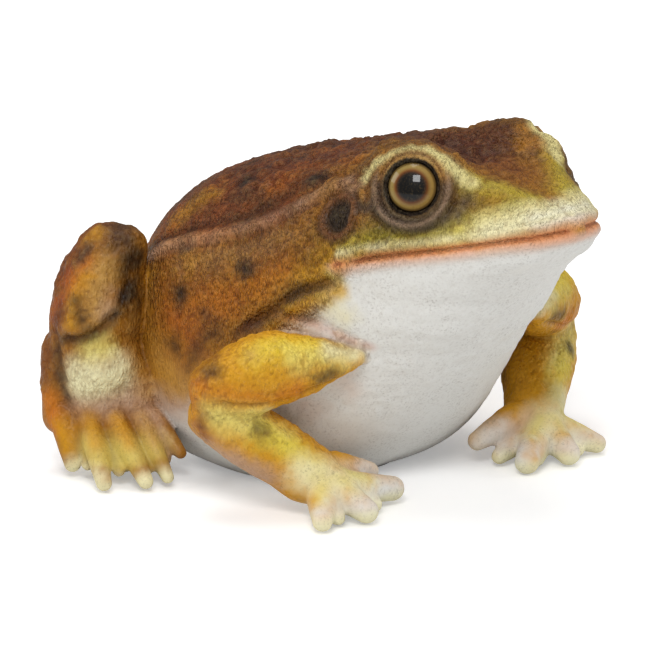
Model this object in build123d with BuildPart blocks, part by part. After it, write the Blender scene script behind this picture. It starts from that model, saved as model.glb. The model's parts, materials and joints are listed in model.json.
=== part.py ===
from build123d import *
import os

os.makedirs("parts", exist_ok=True)

# Seated garden frog, cast in resin: a hollow trunk with the head, four limbs cast on their own,
# two domed eyes and a closing plate underneath. Millimetres, nose towards -Y, frog's left at +X,
# standing on Z = 0 with the origin under the middle of the body.

# Driving sizes of the trunk
body_length = 286
body_half_width = 100
body_height = 193

# Shell
wall = 5
floor_thickness = 9
glue_line = 0.3
overrun = 4

# Limb girths, as radii
upper_arm_radius = 22
forearm_radius = 23
palm_radius = 15
finger_radius = 9.5
thumb_radius = 6.5
haunch_radius = 31
thigh_radius = 20
calf_radius = 22
shank_radius = 17
instep_radius = 15
toe_radius = 8.5
web_thickness = 6

# Tenons that carry the limbs
tenon_radius = 8
tenon_clearance = 0.3
tenon_length = 40
boss_wall = 5

# Eyes
eye_radius = 14
eye_dome = 4.5
eye_depth = 6
eye_clearance = 0.3
rim_width = 2.2
rim_height = 1.4
brow_radius = 21
eye_turn = 35
eye_tilt = 16

# Ear discs, mouth line, nostrils and the two folds along the back
ear_radius = 8
ear_rim = 1.8
ear_rise = 1.6
ear_turn = -8
ear_tilt = 30
mouth_groove_radius = 2
nostril_radius = 1.8
nostril_depth = 4
fold_radius = 5
fold_sink = 2

# Closing plate
plate_half_width = 36
plate_half_length = 46
plate_thickness = 4
ledge = 6
vent_radius = 9
plate_along_share = 0.67
dome_side_share = 0.55
dome_rise_share = 0.72

# Trunk sections from nose to rump: place along the body, half width, bottom, top, widest level,
# then the two powers that square the outline off above and below that level
trunk_shares = [
    (0.021, 0.22, 0.756, 0.891, 0.820, 2.1, 2.0),
    (0.073, 0.38, 0.658, 0.922, 0.808, 2.4, 1.9),
    (0.136, 0.49, 0.508, 0.953, 0.786, 2.6, 1.8),
    (0.206, 0.60, 0.321, 0.979, 0.759, 2.6, 1.8),
    (0.294, 0.70, 0.190, 1.000, 0.722, 2.5, 2.1),
    (0.381, 0.79, 0.080, 0.995, 0.620, 2.4, 2.5),
    (0.503, 0.92, -0.028, 0.950, 0.482, 2.4, 2.8),
    (0.643, 1.00, -0.040, 0.898, 0.415, 2.5, 2.8),
    (0.766, 0.99, -0.040, 0.853, 0.394, 2.6, 2.8),
    (0.871, 0.87, -0.024, 0.795, 0.383, 2.5, 2.6),
    (0.941, 0.66, 0.041, 0.705, 0.363, 2.3, 2.3),
    (0.983, 0.36, 0.145, 0.549, 0.342, 2.0, 2.0),
]
nose_up_share = 0.824
rump_up_share = 0.337
outline_steps = 16
mouth_stations = 5
cavity_stations = slice(4, 12)
fold_out_shares = [0.74, 0.73, 0.74, 0.77, 0.80, 0.86]
fold_stations = slice(4, 10)

# Places of the limbs and of the features, as shares of half width, length ahead of the middle, height
shoulder_share = (0.50, 0.165, 0.435)
elbow_share = (1.37, -0.020, 0.345)
forearm_share = (1.29, -0.040, 0.290)
wrist_share = (0.68, 0.165, 0.100)
palm_heel_share = (0.82, 0.110, 0.083)
palm_front_share = (0.68, 0.205, 0.062)
knuckle_shares = [(0.78, 0.160, 0.070), (0.72, 0.165, 0.068), (0.66, 0.158, 0.064)]
finger_tip_shares = [(1.06, 0.226, 0.030), (0.76, 0.246, 0.040), (0.36, 0.212, 0.034)]
hand_heel_shares = [(0.52, 0.105, 0), (0.86, 0.122, 0)]
thumb_root_share = (0.70, 0.142, 0.066)
thumb_tip_share = (0.37, 0.108, 0.031)
hip_share = (0.66, -0.310, 0.420)
knee_share = (1.06, -0.356, 0.728)
haunch_foot_share = (1.07, -0.340, 0.180)
haunch_middle_share = (1.06, -0.346, 0.450)
thigh_top_share = (1.08, -0.325, 0.720)
thigh_foot_share = (1.24, -0.352, 0.400)
calf_top_share = (1.06, -0.320, 0.400)
calf_foot_share = (1.10, -0.298, 0.165)
shank_top_share = (1.16, -0.425, 0.500)
heel_share = (1.20, -0.430, 0.060)
instep_share = (1.03, -0.400, 0.072)
instep_front_share = (1.20, -0.235, 0.050)
toe_root_shares = [(1.20, -0.430, 0.150), (1.14, -0.400, 0.200), (1.06, -0.370, 0.210), (0.96, -0.350, 0.210)]
toe_tip_shares = [(1.28, -0.330, 0.024), (1.39, -0.242, 0.024), (1.24, -0.175, 0.024), (1.09, -0.168, 0.024)]
foot_heel_shares = [(0.88, -0.330, 0), (1.06, -0.430, 0), (1.20, -0.430, 0)]
brow_back_share = (0.35, 0.150, 0.930)
brow_front_share = (0.36, 0.325, 0.930)
eye_share = (0.478, 0.257, 0.929)
ear_share = (0.688, 0.134, 0.835)
nostril_share = (0.13, 0.466, 0.872)

# Girth of a limb as shares of its radius at root, belly and tip, and the power that blunts its ends
arm_girth_shares = (0.60, 1.20, 0.92, 3.5)
forearm_girth_shares = (0.95, 1.05, 0.72, 3.5)
palm_girth_shares = (1.0, 1.0, 0.95, 2.4)
digit_girth_shares = (1.1, 0.90, 0.85, 4.5)
haunch_girth_shares = (0.80, 1.10, 0.80, 2.4)
calf_girth_shares = (0.90, 1.10, 0.90, 2.4)
shank_girth_shares = (0.85, 1.0, 0.90, 3.5)
brow_girth_shares = (1.0, 1.0, 1.0, 2.0)
profile_steps = 8
web_reach_share = 0.86
web_notch_share = 0.22


def place(share):
    """Point on the frog's right side for a share of half width, length and height."""
    out, ahead, up = share
    return Vector(-out * body_half_width, -ahead * body_length, up * body_height)


def station_y(along, grow):
    """Place of a trunk section along the body, with the ends moved out by grow."""
    return (along - 0.5) * (body_length + 2 * grow)


def outline_point(station, grow, turn):
    """Point of a trunk section at a turn in degrees from its right, as x and z."""
    along, half_width, bottom, top, level, power_up, power_down = station
    across = Vector(1, 0).rotate(Axis.Z, turn)
    power = power_up if across.Y > 0 else power_down
    rise = (top if across.Y > 0 else bottom) * body_height - level * body_height
    grown_rise = rise + (grow if across.Y > 0 else -grow)
    width = abs(across.X) ** (2 / power) * (half_width * body_half_width + grow)
    height = abs(across.Y) ** (2 / power) * grown_rise
    return (width if across.X > 0 else -width, level * body_height + height)


def trunk_form(grow, stations):
    """Smooth trunk through the given sections, larger by grow all round."""
    nose = Vertex(0, station_y(0, grow), nose_up_share * body_height)
    rump = Vertex(0, station_y(1, grow), rump_up_share * body_height)
    turns = [360 * step / outline_steps - 90 for step in range(outline_steps)]
    with BuildPart() as form:
        for station in stations:
            with BuildSketch(Plane.XZ.offset(-station_y(station[0], grow))):
                with BuildLine():
                    Spline(*[outline_point(station, grow, turn) for turn in turns], periodic=True)
                make_face()
        sections = list(form.pending_faces)
        if stations[0] is trunk_shares[0]:
            sections.insert(0, nose)
        loft(sections=sections + [rump], clean=False)
        form.pending_faces.clear()
        form.pending_face_planes.clear()
    return form.part


def tapered_limb(start, end, radius, girth_shares):
    """Round-ended solid of revolution whose girth runs from root through belly to tip."""
    way = end - start
    root, belly, tip, bluntness = girth_shares
    profile = []
    for step in range(profile_steps + 1):
        turn = Vector(-1, 0).rotate(Axis.Z, -180 * step / profile_steps)
        along = (1 + turn.X) / 2
        girth = root * (1 - along) ** 2 + 2 * belly * along * (1 - along) + tip * along**2
        cap = max(0, 1 - abs(turn.X) ** bluntness) ** (1 / bluntness)
        profile.append((along * way.length, girth * cap * radius))
    with BuildPart() as limb:
        with BuildSketch(Plane(origin=start, x_dir=way, z_dir=way.cross(Vector(1, 2, 3)))):
            with BuildLine():
                Spline(*profile)
                Line(profile[-1], profile[0])
            make_face()
        revolve(axis=Axis(start, way))
    return limb.part


def both_sides(forms):
    """Forms of the right side together with their mirror images."""
    return forms + [mirror(form, about=Plane.YZ, mode=Mode.PRIVATE) for form in forms]


def rod(start, towards, radius, length):
    """Plain cylinder from start towards a point."""
    with BuildPart() as bar:
        with BuildSketch(Plane(origin=start, z_dir=towards - start)):
            Circle(radius)
        extrude(amount=length)
    return bar.part


def aimed_plane(share, turn, tilt):
    """Plane at a place on the right side, facing out, turned to the nose and tilted up."""
    facing = Vector(-1, 0, 0).rotate(Axis.Y, tilt).rotate(Axis.Z, turn)
    return Plane(origin=place(share), z_dir=facing)


def webbed_sole(heels, tips):
    """Web on the ground, scalloped between neighbouring toe tips and straight around the heel."""
    centre = sum(heels, Vector(0, 0)) / len(heels)
    ends = [centre + (Vector(tip.X, tip.Y) - centre) * web_reach_share for tip in tips]
    with BuildPart() as sole:
        with BuildSketch():
            with BuildLine():
                for near, far in zip(ends[:-1], ends[1:]):
                    middle = (near + far) * 0.5
                    notch = middle + (centre - middle).normalized() * ((far - near).length * web_notch_share)
                    ThreePointArc(near, notch, far)
                Polyline(ends[-1], *heels, ends[0])
            make_face()
        extrude(amount=web_thickness)
    return sole.part


def webbed_foot(roots, tips, radius, heels):
    """Toes from their roots to their tips, on one web."""
    forms = [tapered_limb(root, tip, radius, digit_girth_shares) for root, tip in zip(roots, tips)]
    return forms + [webbed_sole([Vector(heel.X, heel.Y) for heel in heels], tips)]


# Tenons run from inside the trunk to inside the limb, each in a socket a clearance larger
tenon_ways = [(place(shoulder_share), place(elbow_share)), (place(hip_share), place(haunch_middle_share))]


def tenon(way, grow):
    """Tenon along its way, longer at the root and thicker by grow."""
    root, towards = way
    start = root - (towards - root).normalized() * grow
    return rod(start, towards, tenon_radius + grow, tenon_length + grow)


def back_fold(grow):
    """Fold along the right of the back, on the trunk's own sections, thicker by grow."""
    points = []
    for station, out in zip(trunk_shares[fold_stations], fold_out_shares):
        along, half_width, bottom, top, level, power_up, power_down = station
        rise = (top - level) * (1 - out**power_up) ** (1 / power_up)
        across = -out * half_width * body_half_width
        points.append(Vector(across, station_y(along, 0), (level + rise) * body_height - fold_sink))
    points[0] -= Vector(0, 0, fold_radius)
    points[-1] -= Vector(0, 0, fold_radius)
    with BuildPart() as fold:
        with BuildLine() as crest:
            Spline(*points)
        with BuildSketch(Plane(origin=crest.line @ 0, z_dir=crest.line % 0)):
            Circle(fold_radius + grow)
        sweep(path=crest.line)
    return fold.part


# Inside of the trunk, left solid around the tenon sockets
with BuildPart() as cavity:
    add(trunk_form(-wall, trunk_shares[cavity_stations]))
    split(bisect_by=Plane.XY.offset(floor_thickness), keep=Keep.TOP)
    add(both_sides([tenon(way, boss_wall) for way in tenon_ways]), mode=Mode.SUBTRACT)

# Eye socket with its raised rim, and the ear disc, for the right side
eye_plane = aimed_plane(eye_share, eye_turn, eye_tilt)
ear_plane = aimed_plane(ear_share, ear_turn, ear_tilt)
with BuildPart() as eye_rim:
    with BuildSketch(eye_plane.offset(-eye_depth)):
        Circle(eye_radius + rim_width)
    extrude(amount=eye_depth + rim_height)
with BuildPart() as eye_socket:
    with BuildSketch(eye_plane.offset(-eye_depth - glue_line)):
        Circle(eye_radius + eye_clearance)
    extrude(amount=eye_depth + brow_radius)
with BuildPart() as ear_disc:
    with BuildSketch(ear_plane.offset(-overrun)):
        Circle(ear_radius)
    extrude(amount=overrun + ear_rise)
    with BuildSketch(ear_plane.offset(ear_rise)):
        Circle(ear_radius - ear_rim)
    extrude(amount=-ear_rim, mode=Mode.SUBTRACT)

# Mouth line: a round groove at the widest level of the head
with BuildPart() as mouth_groove:
    lips = [Vector(0, station_y(0, 0), nose_up_share * body_height)]
    for along, half_width, bottom, top, level, power_up, power_down in trunk_shares[:mouth_stations]:
        corner = Vector(half_width * body_half_width, station_y(along, 0), level * body_height)
        lips = [corner] + lips + [Vector(-corner.X, corner.Y, corner.Z)]
    with BuildLine() as lip_line:
        Spline(*lips)
    with BuildSketch(Plane(origin=lip_line.line @ 0, z_dir=lip_line.line % 0)):
        Circle(mouth_groove_radius)
    sweep(path=lip_line.line)

# Trunk and head, one hollow casting open underneath
with BuildPart() as opening:
    with BuildSketch(Plane.XY.offset(-overrun)):
        with Locations((0, station_y(plate_along_share, 0))):
            Ellipse(plate_half_width, plate_half_length)
    extrude(amount=overrun + plate_thickness + glue_line)
    with BuildSketch(Plane.XY):
        with Locations((0, station_y(plate_along_share, 0))):
            Ellipse(plate_half_width - ledge, plate_half_length - ledge)
    extrude(amount=floor_thickness + overrun)
with BuildPart() as trunk_shell:
    add(trunk_form(0, trunk_shares))
    brow = tapered_limb(place(brow_back_share), place(brow_front_share), brow_radius, brow_girth_shares)
    add(both_sides([brow, eye_rim.part, ear_disc.part, back_fold(0)]))
    nostril_base = place(nostril_share)
    nostril = rod(nostril_base, nostril_base + Vector(0, 1, -1), nostril_radius, nostril_depth)
    sockets = [tenon(way, tenon_clearance) for way in tenon_ways]
    hollows = both_sides([eye_socket.part, nostril] + sockets)
    add(hollows + [cavity.part, mouth_groove.part, opening.part], mode=Mode.SUBTRACT)
    split(bisect_by=Plane.XY, keep=Keep.TOP)
trunk_shell.part.label = "trunk_shell"
export_step(trunk_shell.part, "parts/trunk_shell.step")

# Closing plate, flush with the underside, with its vent
with BuildPart() as base_plate:
    with BuildSketch(Plane.XY):
        with Locations((0, station_y(plate_along_share, 0))):
            Ellipse(plate_half_width - glue_line, plate_half_length - glue_line)
            Circle(vent_radius, mode=Mode.SUBTRACT)
    extrude(amount=plate_thickness)
base_plate.part.label = "base_plate"
export_step(base_plate.part, "parts/base_plate.step")

# Domed eye with a barrel that drops into its socket
with BuildPart() as eye_right:
    with BuildSketch(eye_plane.offset(-eye_depth)):
        Circle(eye_radius)
    extrude(amount=eye_depth)
    with BuildSketch(Plane(origin=eye_plane.origin, x_dir=eye_plane.x_dir, z_dir=-eye_plane.y_dir)):
        with BuildLine():
            ThreePointArc((0, eye_dome), (eye_radius * dome_side_share, eye_dome * dome_rise_share),
                          (eye_radius, 0))
            Polyline((eye_radius, 0), (0, 0), (0, eye_dome))
        make_face()
    revolve(axis=Axis(eye_plane.origin, eye_plane.z_dir))

# Foreleg: upper arm, forearm, hand with three fingers, a slim thumb and the webs between them
skin_with_glue = trunk_form(glue_line, trunk_shares)
with BuildPart() as foreleg_right:
    forms = [
        tapered_limb(place(shoulder_share), place(elbow_share), upper_arm_radius, arm_girth_shares),
        tapered_limb(place(forearm_share), place(wrist_share), forearm_radius, forearm_girth_shares),
        tapered_limb(place(palm_heel_share), place(palm_front_share), palm_radius, palm_girth_shares),
        tapered_limb(place(thumb_root_share), place(thumb_tip_share), thumb_radius, digit_girth_shares),
    ]
    knuckles, finger_tips, heels = [
        [place(share) for share in row] for row in (knuckle_shares, finger_tip_shares, hand_heel_shares)
    ]
    for form in forms + webbed_foot(knuckles, finger_tips, finger_radius, heels):
        add(form)
    add(skin_with_glue, mode=Mode.SUBTRACT)
    add(tenon(tenon_ways[0], 0))
    split(bisect_by=Plane.XY, keep=Keep.TOP)

# Hind leg: folded haunch with the thigh and calf swelling from it, shank down to the heel, instep,
# four long toes and their web
with BuildPart() as hind_leg_right:
    forms = [
        tapered_limb(place(haunch_foot_share), place(knee_share), haunch_radius, haunch_girth_shares),
        tapered_limb(place(thigh_top_share), place(thigh_foot_share), thigh_radius, calf_girth_shares),
        tapered_limb(place(calf_top_share), place(calf_foot_share), calf_radius, calf_girth_shares),
        tapered_limb(place(shank_top_share), place(heel_share), shank_radius, shank_girth_shares),
    ]
    toe_roots, toe_tips, heels = [
        [place(share) for share in row] for row in (toe_root_shares, toe_tip_shares, foot_heel_shares)
    ]
    instep = tapered_limb(place(instep_share), place(instep_front_share), instep_radius, palm_girth_shares)
    for form in forms + webbed_foot(toe_roots, toe_tips, toe_radius, heels) + [instep]:
        add(form)
    add([skin_with_glue, back_fold(glue_line)], mode=Mode.SUBTRACT)
    add(tenon(tenon_ways[1], 0))
    split(bisect_by=Plane.XY, keep=Keep.TOP)

# The left side mirrors the right
for name, half in (("eye", eye_right), ("foreleg", foreleg_right), ("hind_leg", hind_leg_right)):
    half.part.label = name + "_right"
    export_step(half.part, "parts/" + name + "_right.step")
    with BuildPart() as other:
        mirror(half.part, about=Plane.YZ)
    other.part.label = name + "_left"
    export_step(other.part, "parts/" + name + "_left.step")
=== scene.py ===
"""Garden frog figurine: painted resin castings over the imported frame.

Every form is measured as a distance in millimetres. A place is (out, ahead, up): out from the middle
line to the frog's own side, ahead of the middle of the body, and up from the ground.
"""

import json
import logging
import math
from dataclasses import dataclass
from enum import Enum
from typing import Callable, Sequence

import bpy
import numpy as np
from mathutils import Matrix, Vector

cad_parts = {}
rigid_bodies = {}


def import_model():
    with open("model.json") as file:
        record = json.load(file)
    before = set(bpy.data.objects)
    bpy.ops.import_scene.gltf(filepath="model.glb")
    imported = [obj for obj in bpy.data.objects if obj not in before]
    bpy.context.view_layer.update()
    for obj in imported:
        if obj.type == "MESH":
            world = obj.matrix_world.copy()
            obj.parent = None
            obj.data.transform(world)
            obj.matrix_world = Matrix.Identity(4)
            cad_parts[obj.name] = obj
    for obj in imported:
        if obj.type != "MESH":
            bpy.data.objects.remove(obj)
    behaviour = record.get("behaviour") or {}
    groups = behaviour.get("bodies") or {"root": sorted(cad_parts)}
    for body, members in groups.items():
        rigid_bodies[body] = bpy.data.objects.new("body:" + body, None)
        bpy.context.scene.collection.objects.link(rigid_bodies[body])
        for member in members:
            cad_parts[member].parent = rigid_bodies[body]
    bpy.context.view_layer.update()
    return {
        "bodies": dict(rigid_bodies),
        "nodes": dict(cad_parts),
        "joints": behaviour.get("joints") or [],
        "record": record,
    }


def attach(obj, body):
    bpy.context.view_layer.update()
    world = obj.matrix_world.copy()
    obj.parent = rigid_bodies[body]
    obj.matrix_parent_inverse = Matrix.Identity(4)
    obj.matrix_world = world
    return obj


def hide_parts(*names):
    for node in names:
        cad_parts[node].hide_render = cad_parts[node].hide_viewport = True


LOG = logging.getLogger("garden_frog")
MM = 0.001
Array = np.ndarray
Place = tuple[float, float, float]
Ridge = tuple[float, float, float]
Index = tuple[slice, ...] | Array
Outputs = bpy.types.bpy_prop_collection
BOTH_SIDES = (1, -1)
WHITE = (1.0, 1.0, 1.0, 1.0)


class Side(Enum):
    """Side of the frog that a form belongs to."""

    RIGHT = 1
    LEFT = -1

    @property
    def word(self) -> str:
        """Side as the word that node names end in."""
        return self.name.lower()


class Paint(Enum):
    """Paints on the figurine, as display colours."""

    BELLY = "dfded9"
    # Grey used as painted shade low on the belly and at the ground, and as the bare resin of the closing plate.
    SHADE_AND_RESIN_GREY = "a8a4a0"
    BLUSH = "d0a283"
    CREAM = "ece6b8"
    PALE = "dcd08e"
    LEMON = "dfc834"
    STRAW = "e0d070"
    LIME = "b3a52e"
    OLIVE = "7f6c1c"
    GOLD = "cd9212"
    AMBER = "c26c08"
    ORANGE = "a84c06"
    OCHRE = "9a6412"
    TAN = "bb8e46"
    BROWN = "723a0a"
    RUSSET = "5c2806"
    UMBER = "3f2408"
    SMOKE = "46382a"
    DARK = "1c1008"
    SALMON = "ec9a62"
    ROSE = "b8663e"
    GREY_PINK = "b8957c"
    IRIS = "8e7840"

    @property
    def linear(self) -> Array:
        """Paint as linear light."""
        code = [int(self.value[i : i + 2], 16) / 255 for i in (0, 2, 4)]
        return np.array([c / 12.92 if c < 0.04045 else ((c + 0.055) / 1.055) ** 2.4 for c in code])


def row(place: Place, side: int = 1) -> Array:
    """Point in millimetres of a place (out, ahead, up), side 1 being the frog's right and -1 its left."""
    return np.array((-side * place[0], -place[1], place[2]), float)


def soft_join(a: Array, b: Array, soft: float) -> Array:
    """Union of two distances with a fillet about as wide as soft."""
    h = np.clip(0.5 + 0.5 * (b - a) / soft, 0, 1)
    return b * (1 - h) + a * h - soft * h * (1 - h)


def soft_cut(a: Array, b: Array, soft: float) -> Array:
    """Common part of two distances with a rounded edge, as -soft_join(-a, -b)."""
    return -soft_join(-a, -b, soft)


def ease(value: Array) -> Array:
    """Smooth step from 0 to 1 over values from 0 to 1."""
    t = np.clip(value, 0, 1)
    return t * t * (3 - 2 * t)


def ridge(off: Array, middle: float, width: float) -> Array:
    """Smooth bump of height 1 at a distance, falling away over a width."""
    return np.exp(-(((off - middle) / width) ** 2))


def ridges(off: Array, rows: Sequence[Ridge]) -> Array:
    """Sum of bumps, each given by its middle, width and height."""
    return sum(height * ridge(off, middle, width) for middle, width, height in rows)


def mix(first: Array, second: Array, share: Array) -> Array:
    """Blend of two colours, by the share of the second at each point."""
    return first * (1 - share[:, None]) + second * share[:, None]


def tint(colours: Array, paint: Array, cover: Array) -> None:
    """Move colours towards a paint, in place, by a cover from 0 to 1 at each point."""
    colours += (paint - colours) * cover[:, None]


def smooth_table(keys: Array, rows: Array, at: Array) -> Array:
    """Run a smooth curve without overshoot through the rows of a table.

    Args:
        keys: Rising keys of the rows.
        rows: One row of values per key.
        at: Keys to look up.

    Returns:
        One row of values per looked-up key.
    """
    gap = np.diff(keys)[:, None]
    rate = np.diff(rows, axis=0) / gap
    slope = np.vstack([rate[:1], np.zeros_like(rate[1:]), rate[-1:]])
    first, last = 2 * gap[1:] + gap[:-1], gap[1:] + 2 * gap[:-1]
    level = rate[:-1] * rate[1:] <= 0
    safe = [np.where(level, 1, side) for side in (rate[:-1], rate[1:])]
    slope[1:-1] = np.where(level, 0, (first + last) / (first / safe[0] + last / safe[1]))
    i = np.clip(np.searchsorted(keys, at, side="right") - 1, 0, len(keys) - 2)
    t = np.clip((at - keys[i]) / gap[i, 0], 0, 1)[:, None]
    return (
        rows[i] * (1 + 2 * t) * (1 - t) ** 2
        + slope[i] * gap[i] * t * (1 - t) ** 2
        + rows[i + 1] * t * t * (3 - 2 * t)
        + slope[i + 1] * gap[i] * t * t * (t - 1)
    )


def smooth_path(points: Sequence[Array], steps: int = 5) -> Array:
    """Smooth line through a few points.

    Args:
        points: The points that the line goes through.
        steps: Pieces between neighbouring points.

    Returns:
        The line as an array of points.
    """
    pts = np.array(points, float)
    keys = np.arange(len(pts), dtype=float)
    at = np.linspace(0, len(pts) - 1, steps * (len(pts) - 1) + 1)
    return smooth_table(keys, pts, at) if len(pts) > 2 else np.array([pts[0] + (pts[1] - pts[0]) * t for t in at])


@dataclass(frozen=True)
class Spots:
    """Points where forms are measured: a lattice of points, or a plain list of them."""

    x: Array
    y: Array
    z: Array
    lattice: bool = False

    @staticmethod
    def grid(low: Array, high: Array, step: float) -> "Spots":
        """Lattice over a box, its three axes shaped to spread over one another."""
        x, y, z = [np.arange(a, b + step, step, dtype=np.float32) for a, b in zip(low, high)]
        return Spots(x[:, None, None], y[None, :, None], z[None, None, :], True)

    @staticmethod
    def listed(points: Array) -> "Spots":
        """Plain list of points, given as rows."""
        return Spots(*[np.ascontiguousarray(points[:, i], np.float32) for i in range(3)])

    def window(self, low: Array, high: Array) -> Index:
        """Index of the points inside a box.

        Args:
            low: Lowest corner.
            high: Highest corner.

        Returns:
            Slices for a lattice, or point numbers for a list.
        """
        axes = list(zip((self.x, self.y, self.z), low, high))
        if self.lattice:
            return tuple(slice(*np.searchsorted(a.ravel(), (lo, hi))) for a, lo, hi in axes)
        inside = np.ones(len(self.x), bool)
        for a, lo, hi in axes:
            inside &= (a > lo) & (a < hi)
        return np.flatnonzero(inside)

    def within(self, index: Index) -> "Spots":
        """The points of an index that window gave.

        Args:
            index: What window gave.

        Returns:
            The points.
        """
        if self.lattice:
            return Spots(self.x[index[0]], self.y[:, index[1]], self.z[:, :, index[2]], True)
        return Spots(self.x[index], self.y[index], self.z[index])


@dataclass(frozen=True)
class Rod:
    """Round-ended rod between two points, its girth running from root through belly to tip."""

    start: Array
    end: Array
    root: float
    belly: float
    tip: float

    def reach(self, margin: float) -> tuple[Array, Array]:
        """Box round the rod with a margin."""
        girth = max(self.root, self.belly, self.tip) + margin
        return np.minimum(self.start, self.end) - girth, np.maximum(self.start, self.end) + girth

    def distance(self, at: Spots) -> Array:
        """Distance of points from the rod's skin.

        Args:
            at: The points.

        Returns:
            Distances, negative inside.
        """
        way = self.end - self.start
        x, y, z = at.x - self.start[0], at.y - self.start[1], at.z - self.start[2]
        t = np.clip((x * way[0] + y * way[1] + z * way[2]) / (way @ way), 0, 1)
        off = np.sqrt((x - t * way[0]) ** 2 + (y - t * way[1]) ** 2 + (z - t * way[2]) ** 2)
        bulge = self.root * (1 - t) ** 2 + (4 * self.belly - self.root - self.tip) * t * (1 - t) + self.tip * t**2
        return off - bulge


@dataclass(frozen=True)
class Ball:
    """Upright ellipsoid."""

    centre: Array
    radii: Place

    def reach(self, margin: float) -> tuple[Array, Array]:
        """Box round the ellipsoid with a margin."""
        return self.centre - max(self.radii) - margin, self.centre + max(self.radii) + margin

    def distance(self, at: Spots) -> Array:
        """Distance of points from the ellipsoid's skin.

        Args:
            at: The points.

        Returns:
            Distances, negative inside.
        """
        a, b, c = [axis - middle for axis, middle in zip((at.x, at.y, at.z), self.centre)]
        r, s, t = self.radii
        near = np.sqrt((a / r) ** 2 + (b / s) ** 2 + (c / t) ** 2)
        far = np.sqrt((a / r**2) ** 2 + (b / s**2) ** 2 + (c / t**2) ** 2)
        return near * (near - 1) / np.maximum(far, 1e-5)


@dataclass(frozen=True)
class Dial:
    """Round place on the skin, with an axis that faces out of it."""

    centre: Array
    facing: Array

    @staticmethod
    def aimed(place: Place, turn: float, tilt: float, side: int) -> "Dial":
        """Dial that faces out of one side, turned to the nose and tilted up by degrees."""
        t, e = math.radians(turn), math.radians(tilt)
        return Dial(row(place, side), row((math.cos(e) * math.cos(t), math.cos(e) * math.sin(t), math.sin(e)), side))

    def polar(self, at: Spots) -> tuple[Array, Array, Array]:
        """Place of points around the dial.

        Args:
            at: The points.

        Returns:
            Height over the dial, distance from its axis, and clock angle in degrees, 0 at the top and 90
            towards the nose.
        """
        d = (at.x - self.centre[0], at.y - self.centre[1], at.z - self.centre[2])
        n = self.facing
        height = d[0] * n[0] + d[1] * n[1] + d[2] * n[2]
        across = np.array((n[1], -n[0], 0)) / math.hypot(n[0], n[1])
        across = across if across[1] < 0 else -across
        upward = np.cross(n, across)
        upward = upward if upward[2] > 0 else -upward
        a = d[0] * across[0] + d[1] * across[1] + d[2] * across[2]
        b = d[0] * upward[0] + d[1] * upward[1] + d[2] * upward[2]
        return height, np.sqrt(a * a + b * b), np.degrees(np.arctan2(a, b))


@dataclass(frozen=True)
class Hoop:
    """Round bead that lies around a dial."""

    dial: Dial
    radius: float
    bead: float
    lift: float = 0.0

    def reach(self, margin: float) -> tuple[Array, Array]:
        """Box round the bead with a margin."""
        size = self.radius + self.bead + abs(self.lift) + margin
        return self.dial.centre - size, self.dial.centre + size

    def distance(self, at: Spots) -> Array:
        """Distance of points from the bead's skin."""
        height, off, _ = self.dial.polar(at)
        return np.sqrt((off - self.radius) ** 2 + (height - self.lift) ** 2) - self.bead


@dataclass(frozen=True)
class Well:
    """Round well sunk into a dial, wider at its mouth."""

    dial: Dial
    radius: float
    depth: float
    flare: float = 0.0

    def reach(self, margin: float) -> tuple[Array, Array]:
        """Box round the well with a margin."""
        size = self.radius + self.depth + 16 + margin
        return self.dial.centre - size, self.dial.centre + size

    def distance(self, at: Spots) -> Array:
        """Distance of points from the well's wall, negative in the well.

        Args:
            at: The points.

        Returns:
            Distances, negative in the well.
        """
        height, off, _ = self.dial.polar(at)
        wall = off - self.radius - np.maximum(height, 0) * self.flare
        return np.maximum(wall, -self.depth - height)


Body = Rod | Ball | Hoop | Well


class Form:
    """Distance of one casting at many points, built up from simple bodies."""

    margin: float = 4.0

    def __init__(self, spots: Spots, values: Array) -> None:
        """Start from a distance at each of the points."""
        self.spots = spots
        self.values = values

    def join(self, body: Body, soft: float) -> "Form":
        """Add a body with a soft fillet.

        Args:
            body: The body.
            soft: Width of the fillet.

        Returns:
            The form itself.
        """
        index = self.spots.window(*body.reach(soft + self.margin))
        part = self.values[index]
        if part.size:
            self.values[index] = soft_join(part, body.distance(self.spots.within(index)), soft)
        return self

    def carve(self, body: Body, soft: float) -> "Form":
        """Take a body away with a rounded edge.

        Args:
            body: The body.
            soft: Width of the rounding.

        Returns:
            The form itself.
        """
        index = self.spots.window(*body.reach(soft + self.margin))
        part = self.values[index]
        if part.size:
            self.values[index] = soft_cut(part, -body.distance(self.spots.within(index)), soft)
        return self


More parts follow.
